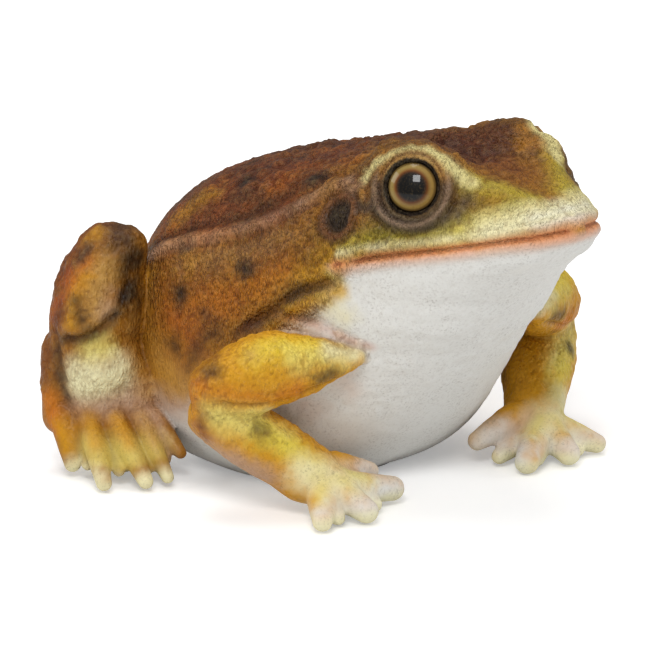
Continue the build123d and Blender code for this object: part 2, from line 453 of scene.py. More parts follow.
class Grain:
    """Smooth random fields of the skin, the same at every run."""

    def __init__(self, seed: int, cells: int = 32) -> None:
        """Fill the lattice that the fields read."""
        self.cells = cells
        self.block = np.random.default_rng(seed).random((cells, cells, cells, 4)).astype(np.float32)

    def cloud(self, points: Array, size: float) -> Array:
        """Soft cloud from -1 to 1.

        Args:
            points: Points in millimetres.
            size: Size of a cloud's lump in millimetres.

        Returns:
            One value per point.
        """
        at = points / size
        low = np.floor(at).astype(int)
        t = ease(at - low)
        total = np.zeros(len(points))
        for corner in range(8):
            step = np.array([(corner >> k) & 1 for k in range(3)])
            weight = np.prod(np.where(step, t, 1 - t), axis=1)
            cell = (low + step) % self.cells
            total += weight * self.block[cell[:, 0], cell[:, 1], cell[:, 2], 0]
        return 2 * total - 1

    def lumps(self, points: Array, size: float, share: float) -> Array:
        """Round lumps scattered over the points, 1 at a lump's crest and 0 between them.

        Args:
            points: Points in millimetres.
            size: Size of the cells that hold a lump each.
            share: Share of the cells that have one.

        Returns:
            One height per point.
        """
        at = points / size
        low = np.floor(at).astype(int)
        height = np.zeros(len(points))
        for i in range(27):
            cell = low + np.array((i % 3, i // 3 % 3, i // 9)) - 1
            seed = self.block[tuple((cell % self.cells).T)]
            off = ((at - cell - 0.25 - 0.5 * seed[:, :3]) ** 2).sum(axis=1)
            radius = 0.45 + 0.35 * seed[:, 1]
            bump = np.clip(1 - off / radius**2, 0, 1) ** 1.5 * (0.6 + 0.4 * seed[:, 2])
            height = np.maximum(height, np.where(seed[:, 3] < share, bump, 0))
        return height


GRAIN = Grain(7)


def near_path(points: Array, path: Array) -> tuple[Array, Array, Array]:
    """Nearest place of many points on a line.

    Args:
        points: The points as rows.
        path: The line's own points.

    Returns:
        Distance from the line, the share of the line passed, and how far the point is above it.
    """
    best = np.full(len(points), 1e9)
    share = np.zeros(len(points))
    above = np.zeros(len(points))
    for i, (a, b) in enumerate(zip(path[:-1], path[1:])):
        way = b - a
        off = points - a
        t = np.clip(off @ way / max(way @ way, 1e-9), 0, 1)
        gap = off - t[:, None] * way
        far = np.sqrt((gap**2).sum(axis=1))
        near = far < best
        best[near] = far[near]
        share[near] = (i + t[near]) / (len(path) - 1)
        above[near] = gap[near, 2]
    return best, share, above


def around(points: Array, path: Array, reach: float) -> Array:
    """Numbers of the points in the box that holds a path and its reach."""
    low, high = path.min(axis=0) - reach, path.max(axis=0) + reach
    return np.flatnonzero(((points > low) & (points < high)).all(axis=1))


@dataclass(frozen=True)
class Crease:
    """Ridge or groove along a line on the skin."""

    places: tuple[Place, ...]
    width: float
    height: float
    sides: tuple[int, ...] = BOTH_SIDES
    fade: float = 0.18

    def relief(self, points: Array) -> Array:
        """Height that the crease adds to the skin, faded at its ends.

        Args:
            points: Points in millimetres.

        Returns:
            One height per point, negative in a groove.
        """
        total = np.zeros(len(points))
        for side in self.sides:
            path = smooth_path([row(place, side) for place in self.places])
            index = around(points, path, 3 * self.width)
            if len(index):
                off, share, _ = near_path(points[index], path)
                fade = ease(share / self.fade) * ease((1 - share) / self.fade)
                total[index] += self.height * ridge(off, 0, self.width) * fade
        return total


@dataclass(frozen=True)
class Spray:
    """Stroke of the airbrush along a line on the skin."""

    paint: Paint
    places: tuple[Place, ...]
    radius: float
    soft: float
    strength: float = 1.0
    wobble: float = 1.5
    sides: tuple[int, ...] = BOTH_SIDES

    def lay(self, points: Array, colours: Array) -> None:
        """Spray the stroke over the colours of the points.

        Args:
            points: Points in millimetres.
            colours: Their colours, changed in place.
        """
        for side in self.sides:
            path = np.array([row(place, side) for place in self.places])
            path = smooth_path(path, 4) if len(path) > 1 else np.vstack([path, path + 0.01])
            index = around(points, path, self.radius + self.soft + self.wobble)
            if not len(index):
                continue
            part = points[index]
            off = near_path(part, path)[0]
            off = off + self.wobble * (0.7 * GRAIN.cloud(part, 6) + 0.6 * GRAIN.cloud(part + 40, 2.6))
            cover = self.strength * ease((self.radius + self.soft - off) / (2 * self.soft))[:, None]
            colours[index] += (self.paint.linear - colours[index]) * cover


def net_surface(values: Array, low: Array, step: float) -> tuple[Array, Array]:
    """Wrap the zero level of a lattice of distances in quads.

    Args:
        values: Distances on the lattice.
        low: Lowest corner of the lattice.
        step: Spacing of the lattice.

    Returns:
        Corner points in millimetres, and four corner numbers per face.
    """
    inside = values < 0
    count = np.zeros(tuple(np.array(values.shape) - 1), np.uint8)
    ends = (slice(0, -1), slice(1, None))
    corners = [(i, j, k) for i in (0, 1) for j in (0, 1) for k in (0, 1)]
    for i, j, k in corners:
        count += inside[ends[i], ends[j], ends[k]]
    crossed = (count > 0) & (count < 8)
    number = np.full(crossed.shape, -1, np.int64)
    cells = np.argwhere(crossed)
    number[crossed] = np.arange(len(cells))
    value = np.stack([values[cells[:, 0] + i, cells[:, 1] + j, cells[:, 2] + k] for i, j, k in corners], 1)
    total, hits = np.zeros((len(cells), 3)), np.zeros(len(cells))
    for a in range(8):
        for b in range(a + 1, 8):
            way = np.array(corners[b]) - np.array(corners[a])
            if abs(way).sum() != 1:
                continue
            cut = (value[:, a] < 0) != (value[:, b] < 0)
            share = value[cut, a] / (value[cut, a] - value[cut, b])
            total[cut] += np.array(corners[a]) + share[:, None] * way
            hits[cut] += 1
    points = (cells + total / hits[:, None]) * step + low
    faces = []
    for axis in range(3):
        here, there = [slice(1, -1)] * 3, [slice(1, -1)] * 3
        here[axis], there[axis] = slice(0, -1), slice(1, None)
        first, second = inside[tuple(here)], inside[tuple(there)]
        edge = np.argwhere(first != second)
        leaves = first[tuple(edge.T)]
        others = [i for i in range(3) if i != axis]
        edge[:, others] += 1
        u, w = np.eye(3, dtype=int)[others[0]], np.eye(3, dtype=int)[others[1]]
        face = np.stack([number[tuple((edge - back).T)] for back in (u + w, w, 0 * u, u)], 1)
        turned = leaves if axis != 1 else ~leaves
        face[~turned] = face[~turned][:, ::-1]
        faces.append(face)
    return points, np.concatenate(faces)


def split_quads(points: Array, quads: Array, chosen: Array) -> tuple[Array, list[Array]]:
    """Split chosen quads in four and give their neighbours the new edge points.

    Args:
        points: Corner points.
        quads: Four corner numbers per face.
        chosen: True for each quad to split.

    Returns:
        All points, and the faces as arrays of rows with the same number of corners.
    """
    pairs = np.sort(np.stack([quads, np.roll(quads, -1, 1)], 2).reshape(-1, 2), 1)
    keys, edge = np.unique(pairs[:, 0] * len(points) + pairs[:, 1], return_inverse=True)
    edge = edge.reshape(-1, 4)
    halved = np.zeros(len(keys), bool)
    halved[edge[chosen].ravel()] = True
    middle = np.full(len(keys), -1)
    middle[halved] = len(points) + np.arange(halved.sum())
    a, b = keys[halved] // len(points), keys[halved] % len(points)
    centres = points[quads[chosen]].mean(axis=1)
    first_centre = len(points) + halved.sum()
    everything = np.vstack([points, (points[a] + points[b]) / 2, centres])
    q, m, c = quads[chosen], middle[edge[chosen]], first_centre + np.arange(chosen.sum())
    faces = [np.stack([q[:, i], m[:, i], c, m[:, i - 1]], 1) for i in range(4)]
    touched = ~chosen & (middle[edge] >= 0).any(axis=1)
    faces.append(quads[~chosen & ~touched])
    mixed: dict[int, list[list[int]]] = {}
    for corners, mids in zip(quads[touched], middle[edge[touched]]):
        ring = [int(n) for pair in zip(corners, mids) for n in pair if n >= 0]
        mixed.setdefault(len(ring), []).append(ring)
    return everything, [np.concatenate(faces)] + [np.array(rings) for rings in mixed.values()]


Measure = Callable[[Spots], Array]


def slope_at(measure: Measure, points: Array, step: float = 0.4) -> Array:
    """Outward direction of a form at points near its skin, as unit rows.

    Args:
        measure: Distance of the form.
        points: Points close to its skin.
        step: Distance over which the slope is taken.

    Returns:
        One unit row per point.
    """
    ways = [
        measure(Spots.listed(points + step * way)) - measure(Spots.listed(points - step * way))
        for way in np.eye(3)
    ]
    slope = np.stack(ways, 1) / (2 * step)
    return slope / np.maximum(np.linalg.norm(slope, axis=1), 1e-6)[:, None]


def settle(measure: Measure, points: Array, rounds: int = 2, step: float = 0.3, most: float = 0.8) -> Array:
    """Move points onto the zero level of a form.

    Args:
        measure: Distance of the form.
        points: Points close to its skin.
        rounds: Number of moves.
        step: Distance over which the slope is taken.
        most: Longest part of a move along an axis.

    Returns:
        The points on the skin.
    """
    for _ in range(rounds):
        value = measure(Spots.listed(points))
        ways = [(measure(Spots.listed(points + step * way)) - value) / step for way in np.eye(3)]
        slope = np.stack(ways, 1)
        move = value[:, None] * slope / np.maximum((slope**2).sum(axis=1), 0.15)[:, None]
        points = points - np.clip(move, -most, most)
    return points


def put(name: str, data: bpy.types.ID) -> bpy.types.Object:
    """Object of some data, linked to the scene.

    Args:
        name: Name of the object.
        data: Its data.

    Returns:
        The object.
    """
    made = bpy.data.objects.new(name, data)
    bpy.context.scene.collection.objects.link(made)
    return made


@dataclass
class Casting:
    """Skin of one piece: its points, faces, outward directions, paint, and a grain attribute that also carries painted
    shade and highlight.
    """

    points: Array
    faces: list[Array]
    normals: Array
    colours: Array | None = None
    finish: Array | None = None

    @staticmethod
    def cast(measure: Measure, low: Array, high: Array, step: float, fine: Callable | None = None) -> "Casting":
        """Wrap a form in a skin.

        Args:
            measure: Distance of the form.
            low: Lowest corner of the box that holds it.
            high: Highest corner.
            step: Spacing of the skin's points.
            fine: Says for the middles of faces which of them are split in four.

        Returns:
            The skin, without paint.
        """
        spots = Spots.grid(low, high, step)
        points, quads = net_surface(measure(spots), np.array(low, float), step)
        faces = [quads]
        if fine is not None:
            points, faces = split_quads(points, quads, fine(points[quads].mean(axis=1)))
        points = settle(measure, points)
        return Casting(points, faces, slope_at(measure, points))

    def build(self, name: str) -> bpy.types.Object:
        """Make the Blender object of the skin.

        Args:
            name: Name of the piece.

        Returns:
            The object, linked to the scene.
        """
        mesh = bpy.data.meshes.new(name)
        counts = np.concatenate([np.full(len(part), part.shape[1]) for part in self.faces])
        loops = np.concatenate([part.ravel() for part in self.faces])
        mesh.vertices.add(len(self.points))
        mesh.vertices.foreach_set("co", (self.points * MM).astype(np.float32).ravel())
        mesh.loops.add(len(loops))
        mesh.loops.foreach_set("vertex_index", loops.astype(np.int32))
        mesh.polygons.add(len(counts))
        mesh.polygons.foreach_set("loop_start", np.concatenate([[0], np.cumsum(counts)[:-1]]).astype(np.int32))
        mesh.polygons.foreach_set("use_smooth", np.ones(len(counts), bool))
        for label, values in (("paint", self.colours), ("finish", self.finish)):
            if values is not None:
                layer = mesh.color_attributes.new(label, "FLOAT_COLOR", "POINT")
                layer.data.foreach_set("color", np.hstack([values, np.ones((len(values), 1))]).ravel())
        mesh.update(calc_edges=True)
        mesh.validate()
        return put(name, mesh)


@dataclass
class TrunkForm:
    """Trunk and head as one casting."""

    length: float = 286.0
    half_width: float = 100.0
    height: float = 193.0
    sections: tuple = (
        (0.000, 0.08, 0.800, 0.866, 0.832, 2.2, 2.0),
        (0.021, 0.22, 0.766, 0.886, 0.820, 2.2, 2.0),
        (0.073, 0.37, 0.700, 0.912, 0.808, 2.3, 2.0),
        (0.136, 0.48, 0.606, 0.943, 0.786, 2.5, 2.0),
        (0.206, 0.60, 0.475, 0.975, 0.759, 2.6, 2.1),
        (0.294, 0.70, 0.300, 1.000, 0.722, 2.5, 2.1),
        (0.381, 0.79, 0.140, 0.997, 0.630, 2.4, 2.3),
        (0.503, 0.92, 0.008, 0.950, 0.482, 2.4, 2.9),
        (0.643, 1.00, -0.050, 0.898, 0.415, 2.4, 2.8),
        (0.766, 0.99, -0.040, 0.850, 0.394, 2.5, 2.8),
        (0.871, 0.87, -0.024, 0.780, 0.383, 2.3, 2.6),
        (0.941, 0.66, 0.041, 0.675, 0.363, 2.1, 2.3),
        (0.983, 0.36, 0.145, 0.525, 0.342, 2.0, 2.0),
        (1.000, 0.08, 0.280, 0.390, 0.337, 2.0, 2.0),
    )
    eye_place: Place = (48.4, 72.4, 179.3)
    eye_turn: float = 35.0
    eye_tilt: float = 16.0
    ear_place: Place = (69.6, 38.8, 161.0)
    ear_turn: float = -6.0
    ear_tilt: float = 28.0
    brow_back: Place = (35.0, 50.0, 178.0)
    brow_front: Place = (35.0, 80.0, 179.0)
    plate_centre: float = -48.6
    mouth: tuple[Place, ...] = (
        (77, 44, 137), (68, 70, 145), (58, 89, 149), (46, 108, 153), (34, 126, 157.5), (17, 139, 160),
        (0, 144, 161.5),
    )

    def eye(self, side: int) -> Dial:
        """Dial of an eye."""
        return Dial.aimed(self.eye_place, self.eye_turn, self.eye_tilt, side)

    def ear(self, side: int) -> Dial:
        """Dial of an ear disc."""
        return Dial.aimed(self.ear_place, self.ear_turn, self.ear_tilt, side)

    def ear_oval(self, side: int, spots: Spots) -> tuple[Array, Array]:
        """Height of points over an ear disc and distance from its middle, the disc being a little oval."""
        height, off, clock = self.ear(side).polar(spots)
        return height, off / (1.16 + 0.12 * np.cos(np.radians(2 * clock)))

    def mouth_path(self, steps: int) -> Array:
        """Mouth line from its right corner round the snout to its left one.

        Args:
            steps: Pieces between neighbouring points.

        Returns:
            The line as an array of points.
        """
        right = [row(place, 1) for place in self.mouth]
        left = [row(place, -1) for place in self.mouth[-2::-1]]
        return smooth_path(right + left, steps)

    def loft(self, at: Spots) -> Array:
        """Distance from the plain trunk that runs through the sections.

        Args:
            at: The points.

        Returns:
            Distances, negative inside.
        """
        table = np.array(self.sections)
        along = 0.5 + at.y.ravel() / self.length
        rows = smooth_table(table[:, 0], table[:, 1:], np.clip(along, 0, 1)).astype(np.float32)
        half, bottom, top, level, power_up, power_down = [c.reshape(at.y.shape) for c in rows.T]
        half, bottom, top, level = half * self.half_width, *[rise * self.height for rise in (bottom, top, level)]
        over = (np.abs(along - np.clip(along, 0, 1)) * self.length).reshape(at.y.shape).astype(np.float32)
        rise = at.z - level
        power = np.where(rise > 0, power_up, power_down)
        tall = np.abs(rise) / np.where(rise > 0, top - level, level - bottom)
        girth = (np.maximum(np.abs(at.x) / half, 1e-4) ** power + np.maximum(tall, 1e-4) ** power) ** (1 / power)
        return (girth - 1) * np.minimum(half, (top - bottom) / 2) + over

    def skin(self, at: Spots) -> Array:
        """Distance from trunk and head with brows, lids and throat, without the hollows.

        Args:
            at: The points.

        Returns:
            Distances, negative inside.
        """
        form = Form(at, self.loft(at))
        for side in BOTH_SIDES:
            form.join(Rod(row(self.brow_back, side), row(self.brow_front, side), 18.5, 20.8, 16.0), 8)
            form.join(Rod(row((28, 92, 178), side), row((14, 122, 170), side), 6, 7, 5), 10)
            form.join(Rod(row((66, 50, 137), side), row((20, 126, 150), side), 9, 8.5, 6), 10)
            eye = self.eye(side)
            form.carve(Well(eye, 13.9, 3.0, 0.35), 1.2)
            form.join(Hoop(eye, 15.0, 1.7, 0.6), 0.8)
        return form.values

    def plate_well(self, at: Spots, half_width: float, half_length: float, depth: float) -> Array:
        """Distance from an oval well up from the ground under the closing plate, negative in it."""
        oval = np.sqrt((at.x / half_width) ** 2 + ((at.y + self.plate_centre) / half_length) ** 2)
        return np.maximum((oval - 1) * half_width, at.z - depth)

    def measure(self, at: Spots) -> Array:
        """Distance from the finished trunk casting, flat underneath and open for its closing plate.

        Args:
            at: The points.

        Returns:
            Distances, negative inside.
        """
        form = Form(at, soft_cut(self.skin(at), -at.z, 2.5))
        recess = self.plate_well(at, 36.0, 46.0, 4.3)
        mouth = self.plate_well(at, 30.0, 40.0, 30.0)
        hollow = Ball(row((0, self.plate_centre, 52)), (34, 44, 40)).distance(at)
        opening = np.minimum(np.minimum(recess, mouth), hollow)
        return np.maximum(form.values, -opening)


TRUNK = TrunkForm()


@dataclass
class SkinRelief:
    """Fine relief of the cast skin: warts, folds, lids and lips, as heights on the surface."""

    creases: tuple[Crease, ...] = (
        Crease(((84, -99, 113), (89, -76, 126), (86, -58, 133), (85, -40, 138), (83, -23, 143), (77, -9, 150),
                (72, 5, 158), (67, 15, 165), (62, 25, 171), (55, 36, 178)), 4.2, 2.8),
        Crease(((84, -93, 121), (86, -71, 134), (82, -55, 141), (80, -34, 148), (73, -17, 157), (65, -2, 166),
                (58, 13, 175), (50, 24, 182)), 3.2, -1.4),
        Crease(((75, 49, 130), (78, 37, 125), (81, 29, 122), (84, 21, 118), (87, 13, 112), (91, 2, 103),
                (94, -8, 95)), 3.6, -2.6),
        Crease(((76, 44, 125), (79, 36, 119), (83, 26, 115), (86, 16, 108), (90, 5, 99)), 4.5, 1.8),
        Crease(((97, -18, 89), (93, -5, 99), (88, 10, 107), (83, 24, 106), (77, 36, 103), (69, 47, 96),
                (61, 55, 93)), 2.6, -1.8),
        Crease(((86, 14, 102), (80, 28, 100), (73, 40, 95), (64, 51, 88)), 3.4, 1.4),
        Crease(((72, 52, 118), (60, 72, 119), (46, 89, 119), (27, 99, 117), (0, 102, 114)), 5.0, -1.0),
        Crease(((68, 52, 106), (52, 72, 104), (38, 82, 101), (18, 90, 100)), 5.0, 0.9),
        Crease(((60, 54, 90), (46, 66, 86), (30, 76, 84), (10, 80, 83)), 5.0, -0.8),
        Crease(((0, 40, 196), (0, 66, 192), (0, 88, 187)), 12.0, -3.0),
    )
    lips: float = 1.2
    leather: float = 0.7
    lip_rows: tuple[Ridge, ...] = ((0.0, 1.25, -1.9), (4.2, 2.6, 1.0), (-4.0, 2.6, 1.1))
    lid_groove: tuple[Ridge, ...] = ((18.0, 1.2, -0.9),)
    low_lid: tuple[Ridge, ...] = ((21.4, 1.9, 1.3), (25.2, 1.6, -0.8))
    top_lid: tuple[Ridge, ...] = ((21.0, 3.0, 1.2),)
    ear_rows: tuple[Ridge, ...] = ((8.9, 1.5, 1.3), (5.6, 1.6, -0.9), (0.0, 3.0, 0.9), (12.2, 1.4, -0.7))

    def lip_line(self, points: Array) -> Array:
        """Heights of the mouth line and its two lips.

        Args:
            points: Points in millimetres.

        Returns:
            One height per point.
        """
        off, share, above = near_path(points, TRUNK.mouth_path(6))
        end = ease(np.minimum(share, 1 - share) / 0.045)
        return ridges(np.where(above > 0, off, -off), self.lip_rows) * (0.25 + 0.75 * end) * (off < 16)

    def dials(self, points: Array) -> Array:
        """Heights of the lids around the eyes and of the rims around the ears.

        Args:
            points: Points in millimetres.

        Returns:
            One height per point.
        """
        total = np.zeros(len(points))
        spots = Spots.listed(points)
        for side in BOTH_SIDES:
            height, off, clock = TRUNK.eye(side).polar(spots)
            low = ease((np.abs(clock) - 62) / 30)
            top = ease((95 - np.abs(clock - 5)) / 40)
            lid = ridges(off, self.lid_groove) + ridges(off, self.low_lid) * low + ridges(off, self.top_lid) * top
            total += np.where((off < 34) & (height > -26), lid, 0)
            height, off = TRUNK.ear_oval(side, spots)
            total += np.where((off < 20) & (height > -12), ridges(off, self.ear_rows), 0)
        return total

    def roughness(self, points: Array, normals: Array) -> Array:
        """How rough the skin is, from 0 on the throat to 1 on the back.

        Args:
            points: Points in millimetres.
            normals: Outward directions.

        Returns:
            One value per point.
        """
        back = ease((points[:, 2] - 118 - 0.25 * points[:, 1]) / 40) * ease((normals[:, 2] + 0.1) / 0.5)
        snout = ease((-points[:, 1] - 92) / 22)
        return back * (1 - 0.85 * snout)

    def heights(self, points: Array, normals: Array) -> Array:
        """All the relief of the trunk's skin.

        Args:
            points: Points in millimetres.
            normals: Outward directions.

        Returns:
            One height per point.
        """
        rough = self.roughness(points, normals)
        total = sum(crease.relief(points) for crease in self.creases)
        total += self.dials(points) + self.lips * self.lip_line(points)
        spots = Spots.listed(points)
        clear = np.ones(len(points))
        for side in BOTH_SIDES:
            for dial, size in ((TRUNK.eye(side), 22.0), (TRUNK.ear(side), 12.0)):
                height, off, _ = dial.polar(spots)
                clear *= ease((off - size) / 5 + (np.abs(height) > 30))
        warts = 2.7 * GRAIN.lumps(points, 11.0, 0.55) + 1.5 * GRAIN.lumps(points + 31, 6.0, 0.7)
        pores = GRAIN.cloud(points, 2.3) * 0.7 + GRAIN.cloud(points, 4.5) * 0.7
        upper = ease((points[:, 2] - 20) / 60)
        return total + clear * rough * warts + self.leather * pores * (0.25 + 0.75 * np.maximum(rough, 0.6 * upper))


RELIEF = SkinRelief()


@dataclass(frozen=True)
class TrunkPaint:
    """Airbrushed colours of trunk and head."""

    edge: tuple[tuple[float, float], ...] = (
        (-150, 30), (-110, 30), (-70, 40), (-40, 45), (-20, 58), (0, 84), (20, 99), (30, 107), (38, 116), (46, 127),
        (53, 136), (60, 140.5), (70, 143.5), (89, 147.5), (108, 151.5), (126, 156), (150, 160),
    )
    strokes: tuple[Spray, ...] = (
        Spray(Paint.OCHRE, ((92, -100, 80), (99, -66, 90), (99, -30, 90), (94, -4, 100)), 18, 16, 0.5, 4),
        Spray(Paint.AMBER, ((99, -40, 100), (95, -16, 112), (86, 12, 130)), 9, 12, 0.55, 4),
        Spray(Paint.ORANGE, ((100, -60, 92), (99, -42, 84)), 7, 10, 0.5, 4),
        Spray(Paint.TAN, ((98, -70, 66), (99, -50, 58), (96, -24, 62)), 9, 12, 0.55, 4),
        Spray(Paint.TAN, ((96, -60, 120), (93, -34, 130), (88, -10, 136), (82, 10, 148)), 6, 9, 0.45, 4),
        Spray(Paint.BROWN, ((92, -30, 124), (88, 0, 134), (82, 20, 146)), 4, 8, 0.5, 4),
        Spray(Paint.BLUSH, ((84, -99, 112), (89, -76, 125), (85, -40, 137), (77, -9, 149), (67, 15, 164),
                            (56, 34, 177)), 3.0, 3.6, 0.7, 1),
        # Painted shade: dark line in the groove above the side ridge of the back.
        Spray(Paint.UMBER, ((84, -93, 121), (86, -71, 134), (82, -55, 141), (80, -34, 148), (73, -17, 157),
                            (65, -2, 166), (58, 13, 175)), 2.4, 4, 0.75, 2),
        Spray(Paint.GOLD, ((76, -78, 141), (65, -65, 152)), 6, 9, 0.6, 5),
        Spray(Paint.AMBER, ((59, -17, 166), (47, -10, 174), (42, 19, 184)), 6, 9, 0.5, 5),
        Spray(Paint.RUSSET, ((40, -60, 160), (34, -30, 170), (30, 10, 182)), 12, 12, 0.6, 6),
        Spray(Paint.RUSSET, ((0, -90, 155), (0, -40, 172), (0, 10, 186), (0, 50, 193)), 18, 14, 0.55, 6),
        Spray(Paint.AMBER, ((22, -70, 160), (20, -20, 175)), 5, 8, 0.45, 5),
        Spray(Paint.DARK, ((57, -48, 161),), 4.5, 5, 0.85, 3),
        Spray(Paint.DARK, ((55, 5, 172), (53, 11, 174)), 4.5, 5, 0.9, 3),
        Spray(Paint.DARK, ((30, -70, 161),), 4, 5, 0.7, 3),
        Spray(Paint.DARK, ((12, -25, 176),), 4, 5, 0.6, 3, (1,)),
        Spray(Paint.DARK, ((24, -95, 150), (20, -100, 147)), 4, 5, 0.7, 3),
        Spray(Paint.DARK, ((87, -60, 130),), 4, 5, 0.7, 3),
        Spray(Paint.DARK, ((90, -11, 126),), 5.5, 5, 0.9, 3),
        Spray(Paint.DARK, ((98, -54, 105),), 6, 5.5, 0.9, 3),
        Spray(Paint.DARK, ((99, -34, 99),), 4.5, 5, 0.6, 3),
        Spray(Paint.DARK, ((100, -57, 77),), 5, 5.5, 0.75, 3),
        Spray(Paint.UMBER, ((98, -26, 92), (100, -38, 80), (100, -45, 68)), 4, 6, 0.7, 3),
        Spray(Paint.DARK, ((60, -128, 96), (66, -124, 100)), 6, 6, 0.7, 3),
        Spray(Paint.DARK, ((20, -138, 82),), 6, 6, 0.6, 3),
        Spray(Paint.DARK, ((38, -122, 126),), 5, 6, 0.65, 3),
        Spray(Paint.OCHRE, ((79, 20, 146), (80, 28, 137), (79, 33, 128)), 7, 9, 0.7, 3),
        Spray(Paint.GOLD, ((78, 38, 137), (79, 33, 131), (82, 24, 126)), 4, 6, 0.7, 2),
        Spray(Paint.STRAW, ((78, 42, 132), (77, 46, 127), (76, 46, 122)), 3.5, 5, 0.8, 1.5),
        Spray(Paint.GOLD, ((76, 46, 123), (77, 40, 120), (81, 29, 115), (85, 18, 108), (89, 7, 98)), 4, 4.5, 0.85, 1.5),
        # Painted shade: dark paint in the groove of the shoulder fold.
        Spray(Paint.UMBER, ((79, 34, 124), (81, 29, 122), (84, 21, 118), (87, 13, 112), (91, 2, 103),
                            (94, -8, 95)), 2.4, 4, 0.9, 1.2),
        Spray(Paint.DARK, ((83, 24, 121), (85, 18, 117)), 2.8, 5, 0.85, 1.5),
        Spray(Paint.ROSE, ((95, -10, 94), (88, 10, 105), (83, 24, 104), (77, 36, 101), (69, 47, 95),
                           (61, 55, 92)), 1.5, 3.0, 0.5, 1),
        # Painted shade: dark paint in the crease where the arm meets the body.
        Spray(Paint.UMBER, ((96, -12, 92), (91, 2, 100), (86, 14, 105)), 2.6, 4.5, 0.8, 1),
        Spray(Paint.BLUSH, ((84, 20, 100), (76, 36, 96), (66, 50, 90)), 3, 7, 0.35, 2),
        Spray(Paint.STRAW, ((78, 40, 116), (74, 46, 110)), 4, 10, 0.45, 3),
        Spray(Paint.BLUSH, ((70, 44, 80), (66, 40, 70), (62, 44, 60)), 4, 10, 0.4, 3),
        Spray(Paint.BLUSH, ((84, 16, 66), (74, 26, 50)), 4, 9, 0.4, 3),
        # Painted shade: grey under the chest and along the lower flank near the ground.
        Spray(Paint.SHADE_AND_RESIN_GREY, ((60, 12, 12), (30, 10, 8), (0, 4, 8)), 5, 10, 0.4, 2),
        Spray(Paint.SHADE_AND_RESIN_GREY, ((96, -70, 22), (98, -30, 18), (90, -5, 18)), 6, 10, 0.5, 3),
    )
    face: tuple[Spray, ...] = (
        Spray(Paint.OLIVE, ((66, 66, 158), (56, 88, 162), (44, 104, 168)), 8, 9, 0.8, 2),
        Spray(Paint.LIME, ((75, 49, 147), (66, 67, 153), (57, 88, 156), (46, 105, 161), (34, 116, 168),
                           (21, 125, 174)), 5, 6, 0.75, 2),
        Spray(Paint.LIME, ((32, 99, 184), (22, 111, 181), (12, 123, 177)), 7, 8, 0.75, 2),
        Spray(Paint.STRAW, ((50, 98, 157), (38, 115, 164), (24, 127, 169), (8, 134, 172)), 5, 7, 0.8, 2),
        Spray(Paint.CREAM, ((38, 118, 162), (24, 130, 168), (8, 136, 171), (0, 137, 172)), 7, 8, 0.9, 1.5),
        Spray(Paint.BELLY, ((20, 135, 167), (8, 140, 168), (0, 141, 169)), 4, 6, 0.7, 1),
        Spray(Paint.CREAM, ((76, 46, 143), (67, 69, 150), (57, 89, 154), (45, 107, 158), (33, 125, 163),
                            (15, 137, 168), (0, 140, 169)), 1.8, 3.0, 0.9, 0.6),
        Spray(Paint.SMOKE, ((66, 49, 168), (64, 59, 168), (63, 68, 165), (61, 77, 162), (57, 87, 162), (51, 96, 165),
                            (44, 100, 170), (38, 101, 175)), 3.6, 4.6, 0.9, 1.5),
        Spray(Paint.UMBER, ((72, 46, 154), (68, 58, 158), (63, 72, 157)), 2, 5, 0.6, 2),
        # Painted shade: dark line above the pale brow.
        Spray(Paint.UMBER, ((54, 34, 178), (46, 35, 187), (40, 47, 196), (30, 56, 197)), 3, 5, 0.5, 2),
        Spray(Paint.RUSSET, ((0, 50, 194), (0, 70, 190)), 15, 11, 0.9, 4),
        Spray(Paint.BROWN, ((3, 84, 187), (-3, 98, 184)), 9, 11, 0.7, 4),
        Spray(Paint.RUSSET, ((20, 50, 193), (22, 66, 195)), 8, 6, 0.8, 3),
        Spray(Paint.OCHRE, ((14, 98, 184), (8, 112, 181)), 6, 9, 0.5, 3),
        Spray(Paint.PALE, ((40, 76, 197), (38, 86, 193), (34, 95, 187)), 4, 5, 0.85, 1),
        Spray(Paint.PALE, ((56, 44, 180), (53, 46, 186), (50, 54, 191), (47, 62, 196), (43, 69, 198), (39, 78, 197),
                           (38, 88, 192), (36, 95, 187), (31, 100, 183)), 3.0, 3.0, 0.95, 0.8),
        Spray(Paint.BLUSH, ((64, 38, 172), (58, 42, 177)), 2.5, 4, 0.5, 1),
    )

    def edge_height(self, points: Array) -> Array:
        """Height where the white belly meets the upper colours, at each point's place along the body."""
        ahead, up = np.array(self.edge).T
        return np.interp(-points[:, 1], ahead, up)

    def colours(self, points: Array) -> Array:
        """Colour of every point of the trunk.

        Args:
            points: Points in millimetres.

        Returns:
            One linear colour per point.
        """
        ahead, up = -points[:, 1], points[:, 2]
        wobble = 3.0 * GRAIN.cloud(points, 9) + 1.5 * GRAIN.cloud(points, 3.5)
        soft = np.interp(ahead, (-20, 30, 46, 60), (18, 14, 10, 2.2))
        above = ease((up - self.edge_height(points) + wobble * np.minimum(soft, 4) / 4 + soft) / (2 * soft))
        rear = ease((40 - ahead) / 50)
        top = ease((up - 124 - 0.18 * ahead) / 34)
        cheek = Paint.GOLD.linear * 0.45 + Paint.OLIVE.linear * 0.55
        flank = mix(cheek, Paint.OCHRE.linear, rear)
        back = mix(Paint.OCHRE.linear, Paint.BROWN.linear, rear)
        colours = mix(Paint.BELLY.linear, mix(flank, back, top), above)
        for paint, strength, shift, size, least, gain, where in (
            (Paint.ORANGE, 0.35, 0, 17, 0.5, 0.9, above * rear),
            (Paint.GOLD, 0.35, 70, 11, 0.4, 1.2, above * (1 - top) * rear),
            (Paint.UMBER, 0.45, 90, 8, 0.3, 1.3, above * top),
        ):
            patches = ease(least + gain * GRAIN.cloud(points + shift, size)) * where
            tint(colours, paint.linear, strength * patches)
        for stroke in self.strokes + self.face:
            stroke.lay(points, colours)
        self.eyes_and_ears(points, colours)
        self.lips(points, colours)
        return np.clip(colours, 0, 1)

